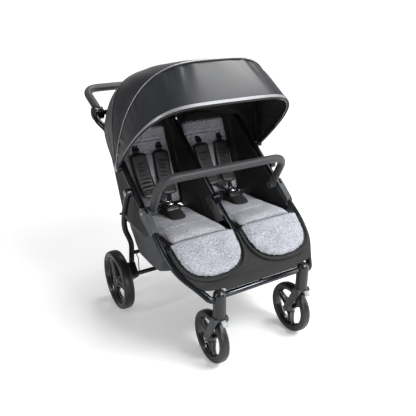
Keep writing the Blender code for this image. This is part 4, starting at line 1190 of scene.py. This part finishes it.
twins(buckleBadge, "buckle_button_SIDE_body", "tab_plastic", "buckle_button_SIDE")
print("harness made")


# side walls, divider and front panel
wall = {"around": 45, "down": 14, "proud": 0.0027, "thick": 0.0021, "fold": 0.0016, "steady": 14}
divide = {"around": 59, "sides": 9, "ridge": 0.0210, "foot": 0.0200, "flat": 0.28, "crown": 0.075,
          "fold": 0.0042, "shares": [0.45, 0.8, 1.0, 1.0, 0.8, 0.35]}
panel = {"start": 0.204, "length": 0.182, "down": 36, "across": 80, "fold": 0.0040, "sag": 0.004,
         "thick": 0.0016}


def sideWall(word, sign):
    upperLine = [onFrame(lowerAngle, 0.113, 0.002), onFrame(lowerAngle, 0.104, 0.005),
                 onFrame(lowerAngle, 0.038, 0.010), onFrame(upperAngle, 0.018, -0.014)]
    upperLine += [onFrame(upperAngle, u) for u in (0.040, 0.14, 0.25, 0.36, 0.44)]
    lowerLine = [onFrame(lowerAngle, 0.1145, 0.0), onFrame(lowerAngle, 0.150, 0.0)]
    lowerLine += [(y, deckBottom(y) + 0.0012) for y in (-0.245, -0.20, -0.06, seat["rearY"] - 0.004)]
    lowerLine += [(0.140, 0.392), (0.150, 0.408)]
    lowerLine += [backPlace(u, -0.018) for u in (0.02, 0.18, 0.350)]
    top, low = sampled(upperLine, wall["around"]), sampled(lowerLine, wall["around"])
    grid = []
    for j in range(wall["down"] + 1):
        t = j / wall["down"]
        row = []
        for i, (high, foot) in enumerate(zip(top, low)):
            p = high.lerp(foot, t)
            fold = wall["fold"] * sin(pi * t) * sin(i * 0.9 + 1.5 * sin(t * 4))
            inward = abs(fold) if i > wall["steady"] else 0.0
            row.append(Vector((sign * (wallX + wall["proud"]) - sign * inward, p.y, p.z)))
        grid.append(row)
    piece = lining("sideWall_" + word, grid, Vector((-sign * wall["thick"], 0, 0)))
    bridge(piece, "black_cloth", "front_frame", "handle_frame", (0, foldY - 0.075, foldZ - 0.02),
           (0, foldY + 0.075, foldZ + 0.03), "side_panel_" + word)


sideWall("left", -1)
sideWall("right", 1)


def divider():
    # cloth hung over the middle tube: flat ridge on top, pleats down both sides
    last, shares, foot = divide["around"], divide["shares"], divide["foot"]
    ridge = [onFrame(upperAngle, u, -0.0093) for u in (0.030, 0.10, 0.20, 0.30, 0.39, 0.455)]
    low = [backPlace(u, -0.018) for u in (0.350, 0.18, 0.02)] + [(0.150, 0.410), (0.140, 0.397)]
    low += [(y, deckBottom(y) + 0.0078) for y in (seat["rearY"] - 0.004, 0.04, -0.04, -0.10, -0.150)]
    half = [1.0, 0.97, 0.9, 0.8, 0.66, 0.5, 0.3, 0.1]
    stations = [-s for s in half] + half[::-1]
    rings = []
    for k, (top, base) in enumerate(zip(sampled(ridge, last + 1), sampled(low[::-1], last + 1))):
        t = k / last * 5
        share = shares[-1]
        if k < last:
            share = shares[min(4, int(t))] * (1 - t % 1) + shares[min(5, int(t) + 1)] * (t % 1)
        ring = []
        for s in stations:
            drop = divide["crown"] * share * max(0.0, (abs(s) - divide["flat"]) / 0.72) ** 1.5
            y, z = onFrame(upperAngle, 0.0, -drop)
            ring.append(Vector((s * divide["ridge"], top.y + y - foldY, top.z + z - foldZ)))
        left, right = [], []
        for n in range(1, divide["sides"]):
            f = n / divide["sides"]
            wave = sin(k * 0.62 + 2.4 * sin(k * 0.19) + 1.6 * f)
            fold = divide["fold"] * sin(pi * f) ** 0.7 * (0.5 + 0.5 * wave)
            for line, sign, corner in ((left, -1, ring[0]), (right, 1, ring[-1])):
                p = corner.lerp(Vector((sign * foot, base.y, base.z)), f)
                line.append(p - Vector((sign * fold, 0, 0)))
        floor = [Vector((x, base.y, base.z)) for x in (foot, 0.0080, -0.0080, -foot)]
        rings.append(ring + right + floor + left[::-1])
    piece = newPiece("seatDividerCloth", skin(rings), [blackPolyester], 50)
    bridge(piece, "black_cloth", "front_frame", "handle_frame", (0, foldY - 0.03, foldZ),
           (0, foldY + 0.09, foldZ + 0.05), "seat_divider")


divider()


def frontPanel():
    # places down the lower tubes and half widths there
    widths = ((0.204, tubeX - 0.020), (0.26, tubeX - 0.020), (0.30, tubeX - 0.030), (0.335, 0.255),
              (0.345, 0.249), (0.358, 0.240), (0.368, 0.224), (0.3725, 0.200), (0.375, 0.160),
              (0.3861, 0.157))
    grid = []
    for i in range(panel["down"] + 1):
        u = panel["start"] + panel["length"] * i / panel["down"]
        slack = sin(pi * i / panel["down"])
        for (a, b), (c, d) in zip(widths, widths[1:]):
            if a - 1e-9 <= u <= c + 1e-9:
                half = b + (d - b) * (u - a) / (c - a)
        row = []
        for j in range(panel["across"] + 1):
            s = -1 + 2 * j / panel["across"]
            x = half * s
            fold = panel["fold"] * slack * abs(s) ** 3 * sin(34 * (u - 0.2) + 9 * s * s + 6 * abs(s))
            hem = 0.0010 * exp(-((u - 0.212) / 0.012) ** 2) * sin(x * 260)
            fold += 0.0016 * slack * wrinkle(x, u, 0, 13, 4) + hem
            sag = -panel["sag"] * slack * (1 - s * s)
            rise = 0.005 * max(0.0, min(1.0, (u - 0.340) / 0.022))
            lift = -tubeRadius - gap - 0.0030 - rise - sag + max(-0.0006, min(0.0026, fold))
            row.append(Vector((x, *onFrame(lowerAngle, u, lift))))
        grid.append(row)
    down = Vector((0, *along(0, 0, lowerAngle, 0.0, -panel["thick"])))
    piece = clothSheet("frontPanelCloth", grid, lambda i, j: down, [panelPolyester, blackPolyester])
    settle(piece, "front_frame", "charcoal_cloth", "front_panel")


frontPanel()

curtain = {"down": 18, "across": 36, "reach": 0.93, "half": 0.2865, "y": 0.2825, "z": 0.748, "bow": 0.012,
           "fold": 0.0024, "thick": 0.0016}
gusset = {"along": 44, "down": 8, "tubeX": 0.3105, "low": 0.222, "high": 0.412, "thick": 0.0012}
skirt = {"along": 16, "across": 6, "start": 0.116, "length": 0.094, "outer": 0.2955, "width": 0.0195,
         "thick": 0.0012}


def rearCurtain(word, sign):
    # black cloth that closes the canopy behind one head: from the flap down to the top of the back rest
    grid = []
    angle, reach, shape = arches["flap"]
    for i in range(curtain["down"] + 1):
        f = i / curtain["down"]
        row = []
        for j in range(curtain["across"] + 1):
            t = sign * curtain["reach"] * j / curtain["across"]
            top = archPlace(coverHalf, reach, angle, t, shape, -0.002)
            foot = Vector((sign * curtain["half"] * j / curtain["across"], curtain["y"], curtain["z"]))
            p = top.lerp(foot, f)
            p.y -= sin(pi * f) * (curtain["bow"] + curtain["fold"] * sin(j * 0.95 + 2 * sin(j * 0.3)))
            row.append(p)
        grid.append(row)
    piece = lining("rearCurtain_" + word, grid, Vector((0, -curtain["thick"], 0)))
    bridge(piece, "black_cloth", "handle_frame", "back_" + word, (0, 0.2732, 0.8361), (0, 0.3178, 0.8027))


def sideGusset(word, sign):
    # cloth between the foot of the canopy flap and the tube that it is sewn round
    grid = []
    angle, reach, shape = arches["flap"]
    for i in range(gusset["along"] + 1):
        top = archPlace(coverHalf, reach, angle, sign * (0.999 - 0.42 * i / gusset["along"]), shape, -0.001)
        u = max(gusset["low"], min(gusset["high"], distanceAlong(top, foldY, foldZ, upperAngle)))
        low = Vector((sign * gusset["tubeX"], *onFrame(upperAngle, u, 0.0122)))
        row = []
        for k in range(gusset["down"] + 1):
            p = top.lerp(low, k / gusset["down"])
            p.z -= sin(pi * k / gusset["down"]) * (0.003 + 0.0016 * sin(i * 0.8))
            row.append(p)
        grid.append(row)
    piece = lining("sideGusset_" + word, grid, Vector((0, 0, -gusset["thick"])))
    settle(piece, "handle_frame", "black_cloth")


def seatSkirt(word, sign):
    # cloth from the edge of the seat to the tube beside it
    grid = []
    for i in range(skirt["along"] + 1):
        y, z = onFrame(lowerAngle, skirt["start"] + skirt["length"] * i / skirt["along"], -0.004)
        edge = deckBottom(y) + 0.006 if y > seat["frontY"] else calf["z"] + (y - calf["y"]) * 0.687 - 0.003
        row = []
        for k in range(skirt["across"] + 1):
            f = k / skirt["across"]
            height = z * (1 - f) + edge * f - 0.003 * sin(pi * f)
            row.append(Vector((sign * (skirt["outer"] - skirt["width"] * f), y, height)))
        grid.append(row)
    piece = lining("seatSkirt_" + word, grid, Vector((0, 0, -skirt["thick"])))
    settle(piece, "front_frame", "black_cloth")


tub = {"half": wallX - gap, "front": -0.222, "length": 0.304, "points": 60, "wallRows": 10, "floorRows": 41,
       "sag": 0.012, "bow": 0.010, "centreY": -0.08, "centreZ": 0.36, "thick": 0.0016}


def basketCloth():
    # tub hung below the seats: walls and a floor that sags
    last, rows = tub["points"] - 1, tub["wallRows"]
    profile = [(tub["front"], deckBottom(tub["front"]) - 0.0015), (-0.236, 0.352), (-0.205, 0.297),
               (-0.10, 0.281), (0.0, 0.284), (0.078, 0.375), (0.082, 0.380)]
    line = sampled(profile, tub["points"])
    for _ in range(4):
        inner = [(line[k - 1] + line[k] * 2 + line[k + 1]) / 4 for k in range(1, last)]
        line = [line[0]] + inner + [line[-1]]
    rim = [tub["front"] + tub["length"] * k / last for k in range(tub["points"])]
    top = [Vector((0, y, deckBottom(y) - 0.0015)) for y in rim]

    def wallRow(sign, seed, t):
        return [Vector((sign * tub["half"] + 0.0004 * wrinkle(seed, p.y, p.z, 30, 1), *(q.lerp(p, t).yz)))
                for p, q in zip(line, top)]

    grid = [wallRow(-1, 0, k / rows) for k in range(rows)]
    for k in range(tub["floorRows"]):
        s = -1 + 2 * k / (tub["floorRows"] - 1)
        row = []
        for p in line:
            sag = tub["sag"] * (1 - abs(s) ** 2.5) * max(0.0, min(1.0, (0.40 - p.z) / 0.08))
            bow = tub["bow"] * (abs(s) ** 8)
            ripple = 0.0016 * wrinkle(s * 0.3, p.y, p.z, 18, 6)
            toCentre = Vector((0, tub["centreY"] - p.y, tub["centreZ"] - p.z)).normalized()
            here = p + toCentre * (bow + abs(ripple)) - Vector((0, 0, sag))
            row.append(Vector((s * tub["half"] * (1 - 0.003 * abs(s) ** 20), here.y, here.z)))
        grid.append(row)
    grid += [wallRow(1, 1, k / rows) for k in range(rows - 1, -1, -1)]
    centre = Vector((0, tub["centreY"], tub["centreZ"]))

    def inward(i, j):
        p = grid[i][j]
        if i < rows:
            return Vector((tub["thick"], 0, 0))
        if i >= rows + tub["floorRows"]:
            return Vector((-tub["thick"], 0, 0))
        return Vector((0, centre.y - p.y, centre.z - p.z)).normalized() * tub["thick"]

    piece = clothSheet("basketCloth", grid, inward, [packCloth, blackPolyester])
    settle(piece, "front_frame", "charcoal_cloth", "basket")
    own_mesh(piece)


basketCloth()


def hanger():
    # strap from the rear leg's stud to the foot of the joint cover
    x = -0.3365
    points = [(x, 0.004, 0.466), (x, -0.05, 0.4575), (x, -0.11, 0.4505), (x + 0.004, -0.150, 0.449),
              (x + 0.012, -0.162, 0.452)]
    path = bentPath(points, 0.03, 5)
    return newPiece("basketStrap_left", sweep(path, strapSection(0.016, 0.0022), up=(1, 0, 0)), webbing, 50)


twins(hanger, "front_frame", "black_cloth")
print("cloth walls made")


# canopy
canopy = {"eyeX": tubeX + tubeRadius + gap, "step": 0.0053, "thick": 0.003, "spread": 0.011, "still": 0.317,
          "top": 1.0414, "topAngle": radians(112.0), "across": 161, "along": (22, 12, 20), "lining": 0.0012}
coverHalf = canopy["eyeX"] + 3 * canopy["step"]
midReach = (canopy["top"] - canopyZ) / sin(canopy["topAngle"] - canopy["spread"]) - canopy["thick"]
# each arch: angle about the pivot, reach and shape (squareness across and up, forward lean)
arches = {"flap": (radians(43.0), 0.290, (4.5, 4.0, 0.0)), "rear": (radians(85.7), 0.361, (3.9, 4.9, 0.0)),
          "mid": (radians(105.0), midReach, (3.6, 2.0, radians(7.0))),
          "brim": (radians(136.6), 0.402, (5.2, 2.7, 0.0))}
archOrder = ["flap", "rear", "mid", "brim"]
tautness = [0.12, 0.7, 0.62]


def archPlace(half, reach, angle, t, shape, grow=0.0):
    # place on an arch: t runs from -1 at the left foot over the top to 1 at the right foot
    a = t * pi / 2
    x = (half + grow) * signedPower(sin(a), 2 / shape[0])
    r = (reach + grow) * abs(cos(a)) ** (2 / shape[1])
    y, z = along(canopyY, canopyZ, angle + shape[2] * cos(a) ** 2, r)
    return Vector((x, y, z))


def archMix(s):
    # angle, reach and shape between the four arches; cloth pulls tighter between them
    k = min(2, int(s))
    f = s - k
    one, two = arches[archOrder[k]], arches[archOrder[k + 1]]
    apart = two[0] - one[0]
    reach = one[1] * (1 - f) + two[1] * f
    reach -= tautness[k] * reach * (cos(apart * (f - 0.5)) - cos(apart / 2))
    shape = [one[2][n] * (1 - f) + two[2][n] * f for n in range(3)]
    return one[0] * (1 - f) + two[0] * f, reach, shape


def spread(v):
    # even steps down to the feet of an arch, where the rows of cloth meet
    v *= 0.985
    return (1 if v > 0 else -1) * (1 - (1 - abs(v)) ** 2)


def puckers(k, f, t):
    # ripples of the rear flap, the roof and the brim; the brim's start at the middle seam
    if k == 0:
        return 0.0022 * sin(pi * f) * wrinkle(t * 1.4, f * 0.6, 0, 5, 9)
    if k == 1:
        return 0.0010 * sin(pi * f) * sin(t * 34 + 2)
    edge = min(f, 1 - f) if 0 < f < 1 else 0.0
    wave = 0.6 * sin(t * 58 + 3 * sin(t * 9)) + 0.4 * sin(t * 117 + 2 * sin(t * 14))
    return 0.0040 * exp(-(f / 0.42) ** 2) * wave * min(1.0, edge * 10)


def canopyGrid(grow):
    grid = []
    for k, steps in enumerate(canopy["along"]):
        for n in range(steps + (1 if k == 2 else 0)):
            f = n / steps
            angle, reach, shape = archMix(k + f)
            row = []
            for j in range(canopy["across"]):
                t = spread(-1 + 2 * j / (canopy["across"] - 1))
                p = archPlace(coverHalf, reach, angle, t, shape, grow)
                out = Vector((p.x * 0.4, p.y - canopyY, p.z - canopyZ)).normalized()
                row.append(p + out * puckers(k, f, t))
            grid.append(row)
    return grid


def foldCanopy(piece):
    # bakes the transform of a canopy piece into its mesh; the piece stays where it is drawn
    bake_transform(piece)


def canopyCloth():
    outer, inner = canopyGrid(canopy["thick"]), canopyGrid(canopy["lining"])
    piece = clothSheet("canopyCloth", outer, lambda i, j: inner[i][j] - outer[i][j],
                       [coatedPolyester, blackPolyester])
    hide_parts("canopy_cover")
    foldCanopy(piece)


canopyCloth()


def archPath(name, turn, grow, count=181):
    angle, reach, shape = arches[name]
    return [archPlace(coverHalf, reach, angle + turn, spread(-1 + 2 * k / (count - 1)), shape, grow)
            for k in range(count)]


for word, sign in (("left", -1), ("right", 1)):
    rearCurtain(word, sign)
    sideGusset(word, sign)
    seatSkirt(word, sign)
# pipings, and black lines of painted shadow beside them: arch, turn about the pivot, distance out, radius,
# cloth
trims = {"rearPipingSilver": ("rear", 0.0, 0.0036, 0.0013, satinRibbon),
         "rearPipingBlack": ("rear", 0.011, 0.0030, 0.0022, blackPolyester),
         # painted shadow: black line behind the rear piping, standing for the shaded gap there
         "rearPaintedShadowGap": ("rear", -0.010, 0.0026, 0.0016, blackPolyester),
         "midPipingSilver": ("mid", -0.003, 0.0040, 0.0024, satinRibbon),
         # painted shadow: black line in front of the middle piping, standing for the shadow line there
         "midPaintedShadowLine": ("mid", 0.011, 0.0030, 0.0023, blackPolyester),
         "flapBinding": ("flap", 0.0, 0.0012, 0.0034, blackPolyester)}
for name, (arch, turn, grow, radius, used) in trims.items():
    piece = piping(name, archPath(arch, turn, grow), radius, used, False)
    if arch == "mid":
        foldCanopy(piece)
    else:
        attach(piece, "handle_frame")


def brimRibbon(name, start, stop, grow, used, thick):
    # flat ribbon along the brim between two turns of the arch
    low, high = archPath("brim", start, grow), archPath("brim", stop, grow)
    inLow, inHigh = archPath("brim", start, grow - thick), archPath("brim", stop, grow - thick)
    rings = []
    for a, b, c, d in zip(low, high, inHigh, inLow):
        crown = ((a + b) / 2 - (c + d) / 2) * 0.35
        rings.append([a, a.lerp(b, 0.5) + crown, b, c, d])
    piece = newPiece(name, skin(rings), used, 50)
    foldCanopy(piece)


brimRibbon("brimBandSilver", -0.020, 0.008, 0.0048, satinRibbon, 0.0010)
lines = {"brimEdgeFront": (0.0125, 0.0010, 0.0040, 12, blackPolyester, "black_cloth"),
         "brimEdgeRear": (-0.0235, 0.0034, 0.0017, 12, blackPolyester, "black_cloth"),
         "brimLineInside": (0.012, -0.0040, 0.0012, 8, satinRibbon, "silver_piping")}
for name, (turn, grow, radius, sides, used, slot) in lines.items():
    piece = newPiece(name, sweep(archPath("brim", turn, grow), roundSection(radius, sides)), used, 60)
    foldCanopy(piece)


def canopyTip():
    # pale end piece where the bows meet, over the pivot
    x0, x1 = -coverHalf - 0.0085, -coverHalf - 0.0040
    y, z = along(canopyY, canopyZ, radians(100), 0.022)
    outline = hull([(canopyY, canopyZ, 0.0095), (y, z, 0.0052)], 40)
    middle = [(canopyY + (a - canopyY) * 0.9, canopyZ + (b - canopyZ) * 0.9) for a, b in outline]
    levels = ((x0, middle), (x0 + 0.0010, outline), (x1, outline))
    rings = [[Vector((x, a, b)) for a, b in line] for x, line in levels]
    return newPiece("canopyTip_left", skin(rings), paleAbs, 40)


twins(canopyTip, "handle_frame", "tab_plastic")
print("canopy made")


# studio
scene = bpy.context.scene
scene.view_settings.view_transform = "Standard"
studio = {"floor": 60.0, "below": -0.0005, "near": 0.17, "far": 0.85, "nearAt": 0.9, "farAt": 3.5,
          "glow": 0.20}
view = {"place": (-0.9715, -1.6921, 1.278), "tilt": -23.62, "turn": -30.70, "lens": 43.85, "sensor": 36.0}
white = bpy.data.materials.new("matteWhitePaper")
white.use_nodes = True
tree = white.node_tree
paper = tree.nodes["Principled BSDF"]
paper.inputs["Roughness"].default_value = 0.9
paper.inputs["Specular IOR Level"].default_value = 0.1
place = addNode(tree, "ShaderNodeTexCoord").outputs["Object"]
fibre = addNode(tree, "ShaderNodeTexNoise", {"Scale": 60.0, "Detail": 2.0}, [(place, "Vector")])
tree.links.new(ramp(tree, fibre.outputs["Fac"], "f6f6f6", "fdfdfd"), paper.inputs["Base Color"])
seen = addNode(tree, "ShaderNodeLightPath")
away = addNode(tree, "ShaderNodeVectorMath", {"operation": "LENGTH"}, [(place, 0)])
rise = addNode(tree, "ShaderNodeMapRange", {"From Min": studio["nearAt"], "From Max": studio["farAt"],
               "To Min": studio["near"], "To Max": studio["far"]}, [(away.outputs["Value"], "Value")])
lift = addNode(tree, "ShaderNodeMath", {"operation": "MULTIPLY"},
               [(seen.outputs["Is Camera Ray"], 0), (rise.outputs[0], 1)])
tree.links.new(lift.outputs[0], paper.inputs["Emission Strength"])
paper.inputs["Emission Color"].default_value = linear("ffffff")

mesh = bmesh.new()
size = studio["floor"]
square = ((-size, -size), (size, -size), (size, size), (-size, size))
mesh.faces.new([mesh.verts.new((x, y, studio["below"])) for x, y in square])
newPiece("studioFloor", mesh, white, 0)

world = bpy.data.worlds.new("studioWorld")
world.use_nodes = True
scene.world = world
tree = world.node_tree
tree.nodes.clear()
seen = addNode(tree, "ShaderNodeLightPath")
glow = addNode(tree, "ShaderNodeBackground", {"Color": linear("ffffff"), "Strength": studio["glow"]})
plain = addNode(tree, "ShaderNodeBackground", {"Color": linear("ffffff"), "Strength": 1.0})
mix = addNode(tree, "ShaderNodeMixShader", {}, [(seen.outputs["Is Camera Ray"], 0), (glow.outputs[0], 1),
              (plain.outputs[0], 2)])
addNode(tree, "ShaderNodeOutputWorld", {}, [(mix.outputs[0], "Surface")])


def areaLight(name, place, aim, wide, high, power):
    data = bpy.data.lights.new(name, "AREA")
    data.shape = "RECTANGLE"
    data.size, data.size_y, data.energy = wide, high, power
    lamp = bpy.data.objects.new(name, data)
    lamp.location = place
    lamp.rotation_euler = (Vector(aim) - Vector(place)).to_track_quat("-Z", "Y").to_euler()
    scene.collection.objects.link(lamp)


# place, aim, width, height, power
lights = {"keyAbove": ((0.9, -2.1, 2.7), (0, 0, 0.5), 1.3, 0.9, 88),
          "fillRight": ((2.4, -1.2, 1.0), (0, 0, 0.5), 1.4, 1.4, 26),
          "stripLeft": ((-2.5, -0.2, 1.3), (0, 0, 0.5), 0.30, 2.0, 20),
          "skyRight": ((1.05, 0.45, 2.75), (0, -0.15, 0.95), 2.0, 0.9, 55),
          "frontLow": ((-0.3, -2.7, 0.95), (0, 0.1, 0.65), 1.4, 0.6, 16)}
for name, settings in lights.items():
    areaLight(name, *settings)

camera = bpy.data.objects.new("studioCamera", bpy.data.cameras.new("studioCamera"))
camera.data.lens = view["lens"]
camera.data.sensor_width = view["sensor"]
camera.location = view["place"]
camera.rotation_euler = (radians(90 + view["tilt"]), 0.0, radians(view["turn"]))
scene.collection.objects.link(camera)
scene.camera = camera
